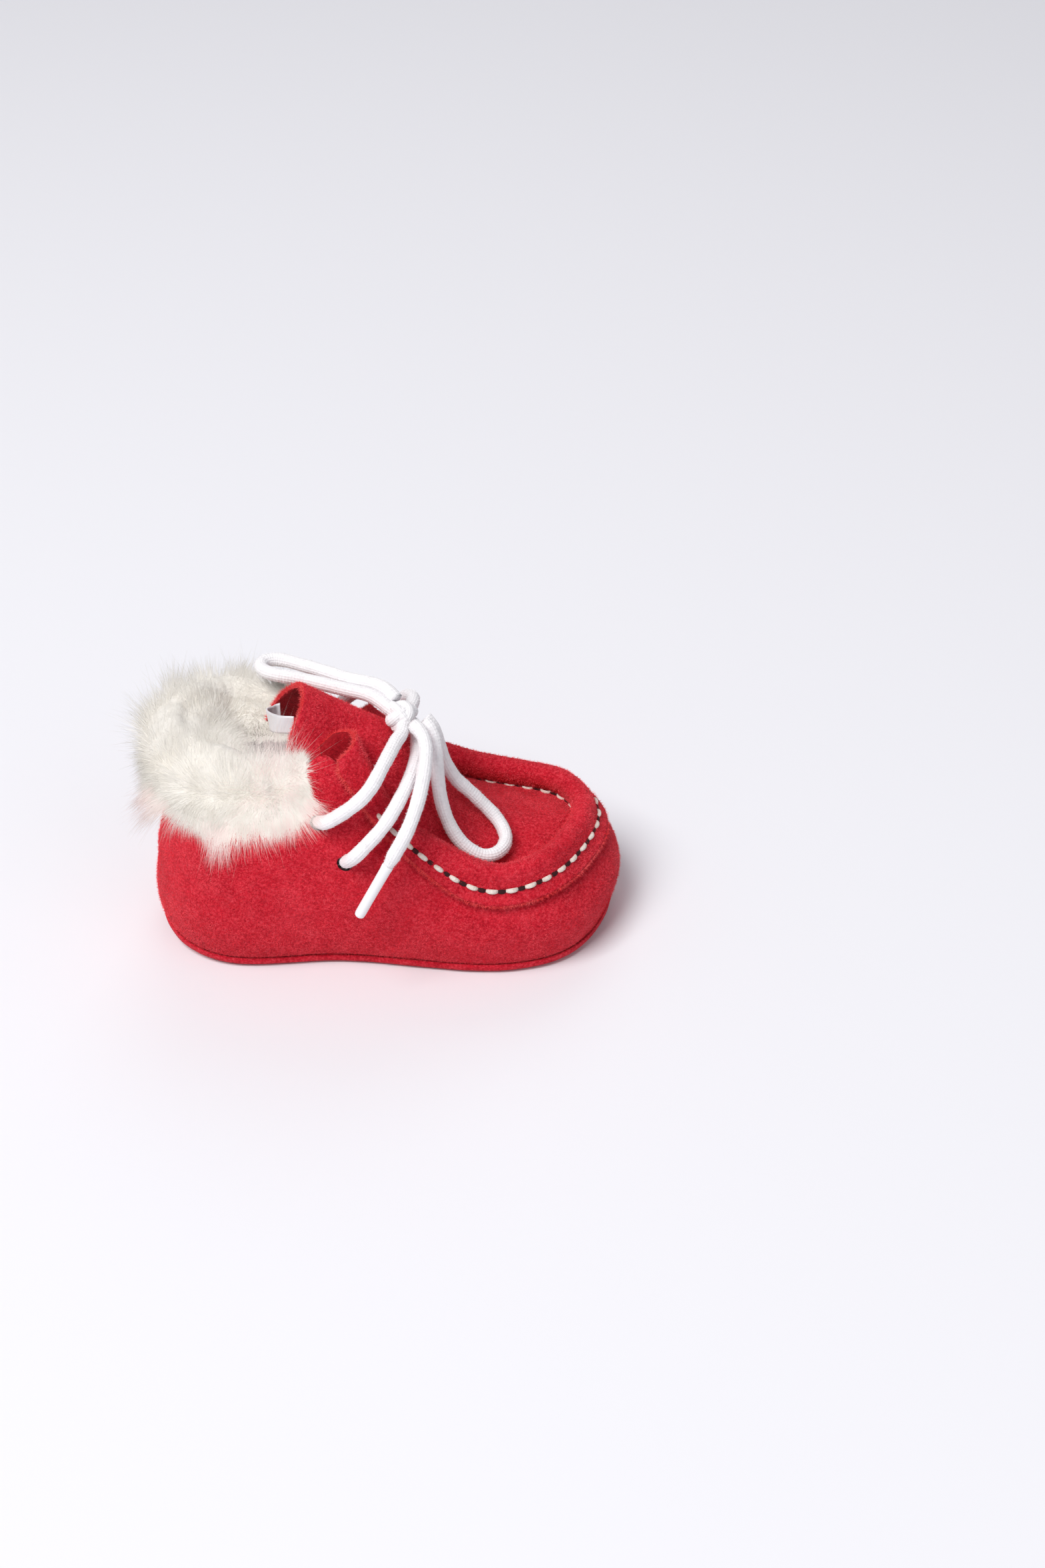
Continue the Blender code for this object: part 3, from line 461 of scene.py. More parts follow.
def add_mesh(name, points, faces, *finishes):
    """A smooth mesh object with its faces pointing out."""
    mesh = bpy.data.meshes.new(name)
    mesh.from_pydata([tuple(p) for p in points], [], faces)
    shape = bmesh.new()
    shape.from_mesh(mesh)
    bmesh.ops.recalc_face_normals(shape, faces=shape.faces)
    shape.to_mesh(mesh)
    shape.free()
    mesh.shade_smooth()
    for finish in finishes:
        mesh.materials.append(finish)
    return add_object(name, mesh)


def ring_faces(rings, count, ends="capped"):
    """Quads between closed rings of points, whose two ends are capped, joined or left open."""
    faces = []
    for r in range(rings if ends == "joined" else rings - 1):
        here, there = r * count, ((r + 1) % rings) * count
        for i in range(count):
            j = (i + 1) % count
            faces.append((here + i, here + j, there + j, there + i))
    if ends == "capped":
        faces += [tuple(range(count)), tuple(range(count * (rings - 1), count * rings))]
    return faces


def dress(thing, slot, *nodes):
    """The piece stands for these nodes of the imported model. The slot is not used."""
    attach(thing, BODY)
    if nodes:
        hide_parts(*nodes)
    return thing


def settle(thing):
    """Applies the piece's modifiers to its mesh."""
    bpy.context.view_layer.update()
    graph = bpy.context.evaluated_depsgraph_get()
    mesh = bpy.data.meshes.new_from_object(thing.evaluated_get(graph))
    thing.modifiers.clear()
    thing.data = mesh
    return thing


# Finishes


def new_finish(name, roughness, colour=None, **values):
    made = bpy.data.materials.new(name)
    made.use_nodes = True
    shader = made.node_tree.nodes["Principled BSDF"]
    shader.inputs["Roughness"].default_value = roughness
    if colour:
        shader.inputs["Base Color"].default_value = (*colour, 1)
    for socket, value in values.items():
        shader.inputs[socket.replace("_", " ")].default_value = value
    return made, made.node_tree, shader


def add_node(tree, kind, **values):
    node = tree.nodes.new(kind)
    for name, value in values.items():
        if name in node.inputs:
            node.inputs[name].default_value = value
        else:
            setattr(node, name, value)
    return node


def noise_node(tree, size, detail=4.0, roughness=0.6):
    """Noise whose bumps are about size across, in metres."""
    place = tree.nodes.get("Place") or add_node(tree, "ShaderNodeTexCoord", name="Place")
    node = add_node(tree, "ShaderNodeTexNoise", Scale=1 / size, Detail=detail, Roughness=roughness)
    tree.links.new(place.outputs["Object"], node.inputs["Vector"])
    return node.outputs["Fac"]


def ramp(tree, value, *stops):
    """Colours by value: each stop is a place and a colour."""
    node = tree.nodes.new("ShaderNodeValToRGB")
    band = node.color_ramp
    while len(band.elements) < len(stops):
        band.elements.new(0.5)
    for element, (place, colour) in zip(band.elements, stops):
        element.position = place
        element.color = (*colour, 1)
    tree.links.new(value, node.inputs["Fac"])
    return node.outputs["Color"]


def mixed(tree, share, first, second):
    """Two colour outputs mixed by a fixed share."""
    node = add_node(tree, "ShaderNodeMix", data_type="RGBA")
    node.inputs[0].default_value = share
    colours = [socket for socket in node.inputs if socket.type == "RGBA"]
    for socket, value in zip(colours, (first, second)):
        tree.links.new(value, socket)
    return [socket for socket in node.outputs if socket.type == "RGBA"][0]


def bump(tree, shader, *layers):
    """Stacks bumps on the shader: each layer is a height output and its depth in metres."""
    before = None
    for height, depth in layers:
        node = add_node(tree, "ShaderNodeBump", Strength=1.0, Distance=depth)
        tree.links.new(height, node.inputs["Height"])
        if before:
            tree.links.new(before, node.inputs["Normal"])
        before = node.outputs["Normal"]
    tree.links.new(before, shader.inputs["Normal"])


def suede(name, deep, full, pale):
    """Brushed suede: a mottled nap in three tones, a fine grain and a soft sheen."""
    made, tree, shader = new_finish(
        name, 0.92, Sheen_Weight=0.18, Sheen_Roughness=0.45, Specular_IOR_Level=0.12
    )
    shader.inputs["Sheen Tint"].default_value = (1.0, 0.42, 0.42, 1)
    broad = ramp(tree, noise_node(tree, 16 * MM, 3.0), (0.34, deep), (0.55, full), (0.78, pale))
    patch = ramp(tree, noise_node(tree, 3.2 * MM, 5.0, 0.65), (0.34, deep), (0.52, full), (0.68, pale))
    fine = ramp(tree, noise_node(tree, 0.62 * MM, 3.0, 0.7), (0.36, deep), (0.50, full), (0.64, pale))
    tone = mixed(tree, 0.45, broad, patch)
    tone = mixed(tree, 0.55, tone, fine)
    tree.links.new(tone, shader.inputs["Base Color"])
    bump(
        tree,
        shader,
        (noise_node(tree, 5 * MM, 3.0), 0.25 * MM),
        (noise_node(tree, 0.9 * MM, 4.0, 0.7), 0.40 * MM),
        (noise_node(tree, 0.30 * MM, 2.0, 0.8), 0.14 * MM),
    )
    return made


def fleece(name, low, high):
    """Wool seen from outside: soft tufts in two creams."""
    made, tree, shader = new_finish(name, 0.95, Sheen_Weight=0.3, Sheen_Roughness=0.5, Specular_IOR_Level=0.1)
    tone = ramp(tree, noise_node(tree, 3 * MM, 5.0, 0.7), (0.32, low), (0.66, high))
    tree.links.new(tone, shader.inputs["Base Color"])
    bump(tree, shader, (noise_node(tree, 1.6 * MM, 4.0, 0.7), 0.5 * MM))
    return made


def hair(name, low, high):
    """Single hairs: a slight change of tone from lock to lock."""
    made, tree, shader = new_finish(name, 0.60, Specular_IOR_Level=0.15)
    tone = ramp(tree, noise_node(tree, 5 * MM, 3.0), (0.36, low), (0.62, high))
    tree.links.new(tone, shader.inputs["Base Color"])
    return made


# The lace's braid: plies round the cord and, in millimetres, the length in which one turn repeats
PLIES = 8
PLY_PITCH = 1.5


def add_math(tree, operation, *values):
    """A math node fed by outputs and plain numbers."""
    node = add_node(tree, "ShaderNodeMath", operation=operation)
    for socket, value in zip(node.inputs, values):
        if isinstance(value, (int, float)):
            socket.default_value = value
        else:
            tree.links.new(value, socket)
    return node.outputs[0]


def cotton(name, low, high):
    """Braided cotton: fine plies crossing round the cord, in its own length and turn."""
    made, tree, shader = new_finish(name, 0.85, Sheen_Weight=0.3, Specular_IOR_Level=0.2)
    place = add_node(tree, "ShaderNodeUVMap")
    split = tree.nodes.new("ShaderNodeSeparateXYZ")
    tree.links.new(place.outputs["UV"], split.inputs["Vector"])
    waves = []
    for plies in (PLIES, -PLIES):
        along = add_math(tree, "MULTIPLY", split.outputs["X"], math.tau / PLY_PITCH)
        around = add_math(tree, "MULTIPLY_ADD", split.outputs["Y"], math.tau * plies, along)
        waves.append(add_math(tree, "SINE", around))
    weave = add_math(tree, "MULTIPLY", *waves)
    tone = ramp(tree, noise_node(tree, 1.2 * MM, 4.0), (0.30, low), (0.60, high))
    tree.links.new(tone, shader.inputs["Base Color"])
    bump(tree, shader, (weave, 0.05 * MM), (noise_node(tree, 0.5 * MM, 4.0, 0.7), 0.12 * MM))
    return made


def satin(name, colour):
    """Woven satin ribbon: fine ribs and a soft gloss."""
    made, tree, shader = new_finish(name, 0.32, colour, Specular_IOR_Level=0.5, Sheen_Weight=0.2)
    waves = noise_node(tree, 2.5 * MM, 2.0)
    ribs = noise_node(tree, 0.2 * MM, 2.0)
    bump(tree, shader, (waves, 0.10 * MM), (ribs, 0.02 * MM))
    return made


def plastic(name, colour):
    made, tree, shader = new_finish(name, 0.35, colour, Specular_IOR_Level=0.5)
    bump(tree, shader, (noise_node(tree, 2.0 * MM, 2.0), 0.03 * MM))
    return made


RED_DEEP = (0.36, 0.004, 0.014)
RED = (0.66, 0.014, 0.034)
RED_PALE = (0.88, 0.075, 0.105)
SUEDE = suede("red_suede", RED_DEEP, RED, RED_PALE)
SUEDE_EDGE = suede("suede_cut_edge", (0.52, 0.010, 0.020), (0.70, 0.035, 0.045), (0.82, 0.10, 0.10))
# Darker suede for the sheet's underside: painted shade for the dim inside of the fold's mouth and of the
# tongue's arch.
SUEDE_UNDERSIDE_PAINTED_SHADE = suede("suede_underside_painted_shade", (0.22, 0.003, 0.008), (0.36, 0.006, 0.014), (0.48, 0.02, 0.03))
SUEDE_NAP = hair("suede_nap", (0.78, 0.025, 0.045), (0.95, 0.10, 0.13))
SUEDE_FUZZ = hair("suede_edge_fuzz", (0.84, 0.05, 0.06), (0.95, 0.13, 0.14))
LINING = fleece("fleece_lining", (0.78, 0.68, 0.70), (0.92, 0.86, 0.87))
UNDERFUR = fleece("fur_underwool", (0.72, 0.685, 0.63), (0.84, 0.81, 0.76))
FUR = hair("fur_hair", (0.72, 0.69, 0.64), (0.85, 0.825, 0.785))
# Pinkish hair for the hem and beside the tongue: painted red light from the suede showing through and
# bouncing into the thin hair.
FUR_HEM_PAINTED_RED_LIGHT = hair("fur_hem_hair_painted_red_light", (0.80, 0.65, 0.63), (0.86, 0.77, 0.74))
COTTON = cotton("white_cotton", (0.90, 0.88, 0.90), (0.98, 0.96, 0.98))
COTTON_FUZZ = hair("cotton_fuzz", (0.93, 0.91, 0.93), (0.98, 0.97, 0.98))
THREAD = cotton("cream_thread", (0.80, 0.66, 0.57), (0.95, 0.87, 0.79))
# Near-black for the needle holes, the eyelets' cut walls and the pinhole: painted shade inside the holes.
HOLE_PAINTED_SHADE = new_finish("hole_painted_shade", 0.95, (0.03, 0.003, 0.004))[0]
TIP = plastic("aglet_plastic", (0.93, 0.93, 0.95))
SATIN = satin("white_satin", (0.78, 0.76, 0.80))


# The leather


def make_sole():
    """The sole with its curled rim, in one smooth sheet."""
    rows = np.linspace(0, ROUND, ROUND * COLUMNS_PER_SECTION, endpoint=False)
    rim, outward = outline(rows)
    profile = []
    for inset in np.linspace(RIM_CURVE * 1.6, 0.35 * MM, 9):
        profile.append((inset, 0.0))
    profile += [(0.08 * MM, 0.12), (0.0, 0.35), (0.0, 0.65), (0.10 * MM, 0.90)]
    for inset in np.linspace(0.4 * MM, RIM_CURVE, 5):
        profile.append((inset, 1.0))
    rings = []
    for inset, share in profile:
        z = rim_height(rows, inset) + share * SOLE_THICKNESS
        rings.append(np.concatenate([rim - outward * inset, z[:, None]], axis=1))
    faces = ring_faces(len(rings), len(rows))
    points = np.concatenate(rings)
    edge = np.clip(1 - np.abs(points[:, 2] - 2 * MM) / (3 * MM), 0, 1)
    points = points + 0.12 * MM * roughly(points, 6 * MM, 1, 5)[:, None] * edge[:, None] * (1, 1, 0)
    return dress(add_mesh("sole_suede", points, faces, SUEDE), "sole", "sole")


def make_insole():
    """The fleece pad in the floor of the shoe."""
    rows = np.linspace(0, ROUND, ROUND * 8, endpoint=False)
    rim, outward = outline(rows)
    low = SOLE_THICKNESS + GAP
    rings = []
    for inset, z in ((RIM_CURVE, low), (RIM_CURVE - INSOLE_FLARE, low + INSOLE_THICKNESS)):
        rings.append(np.concatenate([rim - outward * inset, np.full((len(rows), 1), z)], axis=1))
    middle = rings[-1].mean(0)
    for share in (0.9, 0.75, 0.55, 0.35, 0.15):
        ring = middle + (rings[1] - middle) * share
        ring[:, 2] += 0.25 * MM * np.sin(ring[:, 0] * 900) * np.cos(ring[:, 1] * 1100)
        rings.append(ring)
    faces = ring_faces(len(rings), len(rows))
    return dress(add_mesh("insole_fleece", np.concatenate(rings), faces, LINING), "insole", "insole")


def make_upper():
    """The wraparound upper with soft creases, its cut edges a little paler, and its punched lace holes."""
    rows = np.linspace(0, ROUND, ROUND * COLUMNS_PER_SECTION, endpoint=False)
    count = len(rows)
    heights = np.linspace(0, 1, WALL_ROWS)
    outer, inner = [], []
    for up in heights:
        point, _, _, normal = wall_frame(rows, np.full_like(rows, up))
        push = roughly(point, 11 * MM, 0.22 * MM, 1) + roughly(point, 4 * MM, 0.06 * MM, 2)
        push = push * math.sin(math.pi * min(1, 0.08 + up * 0.92)) - crease_depth(point)
        outer.append(point + normal * push[:, None])
        inner.append(point - normal * WALL)
    rings = outer + inner[::-1]
    faces = ring_faces(len(rings), count, "joined")
    upper = add_mesh("upper_suede", np.concatenate(rings), faces, SUEDE, SUEDE_EDGE, LINING)
    side = np.repeat([0] * (WALL_ROWS - 1) + [1] + [2] * (WALL_ROWS - 1) + [1], count)
    upper.data.polygons.foreach_set("material_index", side.astype(np.int32))
    for name, (section, shift, up) in EYELETS.items():
        punch_hole(upper, name, ROW_OF[section] + shift, up)
    settle(upper)
    for thing in [o for o in bpy.data.objects if o.name.startswith("punch_")]:
        bpy.data.objects.remove(thing)
    return dress(upper, "upper", "upper")


def punch_hole(upper, name, row, up):
    point, _, _, normal = wall_frame(np.array([row]), np.array([up]))
    shape = bmesh.new()
    bmesh.ops.create_cone(
        shape,
        cap_ends=True,
        segments=EYELET_SIDES,
        radius1=EYELET_RADIUS,
        radius2=EYELET_RADIUS,
        depth=4 * WALL,
    )
    mesh = bpy.data.meshes.new(name)
    shape.to_mesh(mesh)
    shape.free()
    # The eyelet's cut wall takes the near-black: painted shade in the hole.
    mesh.materials.append(HOLE_PAINTED_SHADE)
    punch = add_object("punch_" + name, mesh)
    punch.location = point[0] - normal[0] * WALL / 2
    punch.rotation_mode = "QUATERNION"
    punch.rotation_quaternion = Vector(normal[0]).to_track_quat("Z", "Y")
    punch.hide_render = True
    cut = upper.modifiers.new("eyelet_" + name, "BOOLEAN")
    cut.operation = "DIFFERENCE"
    cut.object = punch
    cut.solver = "EXACT"
    cut.material_mode = "TRANSFER"


def make_apron():
    """The apron, its fold and the tongue in one thick sheet with cut edges; its underside is painted darker
    red as shade inside the fold and the tongue's arch.
    """
    count = round((FOLD_END - FOLD_START) * COLUMNS_PER_SECTION) // 2 * 2 + 1
    rows = np.linspace(FOLD_START, FOLD_END, count)
    half = count // 2
    lines = fold_line(rows, middle_at(rows))
    depth = len(lines)
    points = list(lines.reshape(-1, 3))

    def index(line, column):
        if line == depth - 1 and column > half:
            column = count - 1 - column
        return line * count + column

    faces = []
    for line in range(depth - 1):
        for column in range(count - 1):
            corners = [
                index(line, column),
                index(line, column + 1),
                index(line + 1, column + 1),
                index(line + 1, column),
            ]
            faces.append([c for i, c in enumerate(corners) if c not in corners[:i]])
    first = LIP_ROWS + CREST_FACETS + 2
    throat = [index(line, 0) for line in range(first, depth)]
    throat += [index(line, count - 1) for line in range(depth - 2, first - 1, -1)]
    base = np.array([points[i] for i in throat])
    rim = RIM(np.linspace(0, len(TONGUE_RIM) - 1, len(throat)))
    before = throat
    for row in range(1, TONGUE_ROWS + 1):
        along = row / TONGUE_ROWS
        here = list(range(len(points), len(points) + len(throat)))
        points.extend(base * (1 - along) + rim * along)
        for i in range(len(throat) - 1):
            faces.append([before[i], before[i + 1], here[i + 1], here[i]])
        before = here
    used = sorted({i for face in faces for i in face})
    place = {old: new for new, old in enumerate(used)}
    points = np.array([points[i] for i in used])
    faces = [[place[i] for i in face] for face in faces]
    sheet = add_mesh("apron_suede", points, faces, SUEDE, SUEDE_EDGE, SUEDE_UNDERSIDE_PAINTED_SHADE)
    sheet.data.update()
    normals = np.zeros(len(points) * 3)
    sheet.data.vertices.foreach_get("normal", normals)
    push = roughly(points, 9 * MM, 0.26 * MM, 3) + roughly(points, 3.5 * MM, 0.08 * MM, 4)
    points = points + normals.reshape(-1, 3) * push[:, None]
    sheet.data.vertices.foreach_set("co", points.ravel())
    solid = sheet.modifiers.new("leather", "SOLIDIFY")
    solid.thickness = APRON
    solid.offset = 0
    solid.material_offset_rim = 1
    # The sheet's second shell takes the darker suede: painted shade inside the fold and the tongue.
    solid.material_offset = 2
    settle(sheet)
    return dress(sheet, "apron", "apron")


# Cords and thread


def gone_along(line):
    """The length of the line up to each of its points."""
    return np.concatenate([[0], np.cumsum(np.linalg.norm(np.diff(line, axis=0), axis=1))])


def sweep(name, line, radii, finish, sides=TUBE_SIDES, squash=(1.0, 1.0), face=None):
    """A closed tube along a line of points, with its length and turn as texture coordinates."""
    line = np.asarray(line, float)
    along = unit(np.gradient(line, axis=0))
    if face is None:
        side = np.cross(along[0], (0.31, 0.42, 0.85))
        sideways = [unit(side)]
        for step in range(1, len(line)):
            side = sideways[-1] - along[step] * np.dot(sideways[-1], along[step])
            sideways.append(unit(side))
        sideways = np.array(sideways)
    else:
        sideways = unit(np.cross(along, face))
    third = np.cross(along, sideways)
    turn = np.linspace(0, math.tau, sides, endpoint=False)
    radii = np.broadcast_to(radii, len(line))
    ring = (
        sideways[:, None, :] * np.cos(turn)[None, :, None] * squash[0]
        + third[:, None, :] * np.sin(turn)[None, :, None] * squash[1]
    )
    points = line[:, None, :] + ring * radii[:, None, None]
    tube = add_mesh(name, points.reshape(-1, 3), ring_faces(len(line), sides), finish)
    length = gone_along(line) / MM
    layer = tube.data.uv_layers.new(name="cord")
    uv = np.zeros((len(tube.data.loops), 2))
    for polygon in tube.data.polygons:
        corners = [tube.data.loops[k].vertex_index for k in polygon.loop_indices]
        wraps = max(c % sides for c in corners) - min(c % sides for c in corners) > sides / 2
        for loop, corner in zip(polygon.loop_indices, corners):
            round_share = corner % sides / sides
            if wraps and round_share < 0.5:
                round_share += 1
            uv[loop] = (length[corner // sides], round_share)
    layer.data.foreach_set("uv", uv.ravel())
    return tube


def joined(name, pieces):
    """One mesh object made of several."""
    bpy.ops.object.select_all(action="DESELECT")
    for piece in pieces:
        piece.select_set(True)
    bpy.context.view_layer.objects.active = pieces[0]
    bpy.ops.object.join()
    pieces[0].name = name
    pieces[0].data.name = name
    return pieces[0]


def smooth_line(points, per_step=6):
    """The points with smooth points between them."""
    return spline(points)(np.linspace(0, len(points) - 1, (len(points) - 1) * per_step + 1))


def lace_radii(count):
    """The lace's radius along its length, a little uneven."""
    place = np.arange(count)
    return LACE / 2 * (0.965 + 0.035 * np.sin(place * 0.55) * np.sin(place * 0.21 + 1))


def drawn_in(radii):
    """The same radii, smaller at both ends."""
    radii[:2] *= (0.55, 0.90)
    radii[-2:] *= (0.90, 0.55)
    return radii


def eyelet_entry(name):
    """Points that take a lace from inside the shoe out through an eyelet, in metres."""
    section, shift, up = EYELETS[name]
    point, _, _, normal = wall_frame(np.array([ROW_OF[section] + shift]), np.array([up]))
    return [point[0] - normal[0] * out for out in (4.5 * MM, 3.0 * MM, 1.2 * MM)]


def make_taut_laces():
    """The stretches from the eyelets to the knot and over the tongue."""
    for name, route, start, end in (
        ("lace_bar", LACE_BAR, "lower_outer", "lower_inner"),
        ("lace_strand_outer", LACE_STRAND_OUTER, "upper_outer", None),
        ("lace_strand_inner", LACE_STRAND_INNER, None, "upper_inner"),
    ):
        points = [np.array(p) * MM for p in route]
        if start:
            points = eyelet_entry(start) + points[1:]
        else:
            points = [np.array(KNOT_PLACE) * MM] + points
        if end:
            points = points[:-1] + eyelet_entry(end)[::-1]
        else:
            points = points + [np.array(KNOT_PLACE) * MM]
        line = smooth_line(points)
        tube = sweep(name + "_cotton", line, drawn_in(lace_radii(len(line))), COTTON)
        dress(tube, "lace", name)
        add_fuzz(tube, name)


def add_fuzz(tube, name):
    """Fine cotton fibres that soften the lace's outline."""
    return add_nap(name + "_fuzz", tube, "lace", FUZZ_COUNT, FUZZ_LENGTH, FUZZ_WIDTH, COTTON_FUZZ)


def make_aglet(name, route, node):
    """A plastic tip crimped on the end of the lace."""
    points = np.array(route) * MM
    way = unit(points[-1] - points[-2])
    share = np.array((0, 0.01, 0.03, 0.06, 0.10, 0.5, 0.90, 0.96, 0.985, 1.0))
    radius = np.array((0.96, 1.04, 1.06, 1.04, 1.0, 0.97, 0.97, 0.93, 0.84, 0.62))
    line = points[-1] + way * (GAP * 0.3 + share[:, None] * AGLET_LENGTH)
    return dress(sweep(name, line, radius * AGLET / 2, TIP, 24), "aglet", node)


def make_free_laces(aglets, knot):
    """The two ends and the two loops of the bow."""
    for name, route, far_end, extra in (
        ("lace_end_outer", LACE_END_OUTER, "fitting", [aglets[0]]),
        ("lace_end_inner", LACE_END_INNER, "fitting", [aglets[1]]),
        ("lace_loop_front", LACE_LOOP_FRONT, "object", [knot]),
        ("lace_loop_back", LACE_LOOP_BACK, "object", []),
    ):
        line = smooth_line(np.array(route) * MM)
        free_end = far_end == "fitting"
        radii = lace_radii(len(line))
        if free_end:
            radii[-8:] = np.linspace(radii[-8], AGLET / 2 * 0.92, 8)
        tube = sweep(name + "_cotton", line, radii, COTTON)
        dress(tube, "lace", name)
        extra = extra + [add_fuzz(tube, name)]
        tuple(line[0])
        float(gone_along(line)[-1])
        [tuple(p) for p in line]
        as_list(extra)


# Turns of lace that make up the knot, in millimetres from its middle, and how they are drawn together
KNOT_TIGHT = 0.66
KNOT_SHIFT = (-0.8, 0.0, 0.4)
KNOT_TURNS = {
    "wrap": (
        (-2.2, -2.4, -2.6), (-0.6, -3.4, -1.4), (1.4, -3.3, 0.2), (2.8, -1.8, 1.9),
        (2.2, 0.6, 3.0), (0.2, 2.2, 2.6), (-1.9, 2.9, 0.9), (-3.0, 1.6, -1.2),
        (-2.4, -0.4, -2.6),
    ),
    "cross": (
        (-3.4, 2.4, 2.2), (-2.2, 0.6, 3.2), (-0.6, -1.6, 3.0), (0.9, -3.0, 1.6),
        (2.3, -3.4, -0.6), (3.3, -2.4, -2.4),
    ),
    "tuck": (
        (-3.6, -2.2, -0.4), (-2.4, -3.2, 1.0), (-0.4, -2.4, 2.4), (1.8, -0.4, 2.6),
        (3.6, 1.6, 1.2), (4.2, 3.0, -0.6),
    ),
    "under": (
        (3.8, -0.6, 0.0), (2.0, 1.4, -1.2), (-0.4, 1.6, -1.8), (-2.6, 0.4, -1.0),
    ),
}


def make_knot():
    """The knot: turns of the same lace drawn tight round each other."""
    turns = []
    for name, offsets in KNOT_TURNS.items():
        points = (np.array(offsets) * KNOT_TIGHT + KNOT_SHIFT + KNOT_PLACE) * MM
        line = smooth_line(points)
        turns.append(sweep(name, line, drawn_in(lace_radii(len(line))) * 0.93, COTTON))
    return dress(joined("knot_cotton", turns), "lace", "lace_knot")


# The ribbon's middle line, in millimetres, from the tongue's outer wall round behind to its inner one
TAG_ROUTE = (
    (-19.4, -7.0, 59.8), (-20.9, -6.6, 59.7), (-23.0, -5.2, 59.0), (-25.2, -2.0, 57.4),
    (-26.1, 1.2, 56.4), (-25.5, 3.4, 55.6), (-24.6, 4.4, 55.4), (-23.5, 4.7, 55.6),
)


def make_tag():
    """The blank satin ribbon that bows out of the tongue's arch, softly rippled."""
    line = smooth_line(np.array(TAG_ROUTE) * MM, 8)
    line = line[np.linspace(0, len(line) - 1, TAG_STEPS).round().astype(int)]
    lean = unit(np.array(TAG_LEAN))
    thick = unit(np.cross(unit(np.gradient(line, axis=0)), lean))
    across = np.linspace(-0.5, 0.5, TAG_COLUMNS)
    points = []
    for i in range(TAG_STEPS):
        fade = TAG_RIPPLE * math.sin(math.pi * i / (TAG_STEPS - 1))
        for side, order in ((-0.5, across), (0.5, across[::-1])):
            for high in order:
                out = side * TAG_THICKNESS + fade * math.sin(i * 0.42 + high * 2.6)
                points.append(line[i] + lean * high * TAG_WIDTH + thick[i] * out)
    faces = ring_faces(TAG_STEPS, 2 * TAG_COLUMNS)
    return dress(add_mesh("tag_satin", points, faces, SATIN), "tag", "tongue_tag")


# A pinhole in the quarter's corner, in millimetres, painted near-black as shade, with a loose end of thread
# in it
PINHOLE = (-7.7, -19.0, 54.7)


def make_pinhole():
    near = np.array(PINHOLE) * MM
    rows, ups = np.meshgrid(np.linspace(3.4, 4.6, 60), np.linspace(0.6, 1.0, 60))
    point, _, _, normal = wall_frame(rows.ravel(), ups.ravel())
    best = np.linalg.norm(point - near, axis=1).argmin()
    here, face = point[best], normal[best]
    along = unit(np.cross(face, (1.0, 0, 0)))
    line = here + face * 0.05 * MM + along * np.linspace(-0.55, 0.55, 5)[:, None] * MM
    radii = np.array((0.12, 0.42, 0.50, 0.42, 0.12)) * MM
    # The pinhole is a near-black mark on the suede: painted shade in the hole.
    dress(sweep("quarter_pinhole", line, radii, HOLE_PAINTED_SHADE, 12, (1.0, 0.3), face), "upper")
    line = here + face * 0.25 * MM + along * np.linspace(0.3, 0.9, 4)[:, None] * MM
    dress(sweep("quarter_thread", line, 0.14 * MM, THREAD, 8), "upper")


# The stitches along the fold
STITCH_PITCH = 4.7 * MM
STITCH_LENGTH = 3.1 * MM
STITCH_WIDTH = 1.2 * MM
STITCH_HEIGHT = 0.85 * MM
STITCH_DEPTH_SHARE = 0.36
STITCH_RISE = 0.36 * MM
STITCH_DIP = 0.80 * MM
STITCH_STEPS = 11
HOLE_RADIUS = 0.56 * MM
HOLE_RISE = 0.20 * MM
HOLE_DIP = 0.35 * MM
HOLE_UNDER = 0.35 * MM


def stitch_lines():
    """The outer and the inner line of stitches on the fold, with the leather's normal there."""
    rows = np.linspace(FOLD_START + 0.35, FOLD_END - 0.35, 900)
    middle = middle_at(rows)
    point, _, _, normal = wall_frame(rows, up_at(rows, middle[:, 3] * STITCH_DEPTH_SHARE))
    yield "outer", point + normal * (GAP + APRON), normal
    rows = np.linspace(TOE + 0.15, ROW_OF["ball_inner"] + 0.25, 900)
    middle = middle_at(rows)
    point, _, _, normal = wall_frame(rows, up_at(rows, np.full_like(rows, INNER_DEPTH * 0.8)))
    inside = WALL + GAP + APRON + middle[:, 5:6]
    yield "inner", point - normal * inside, -normal


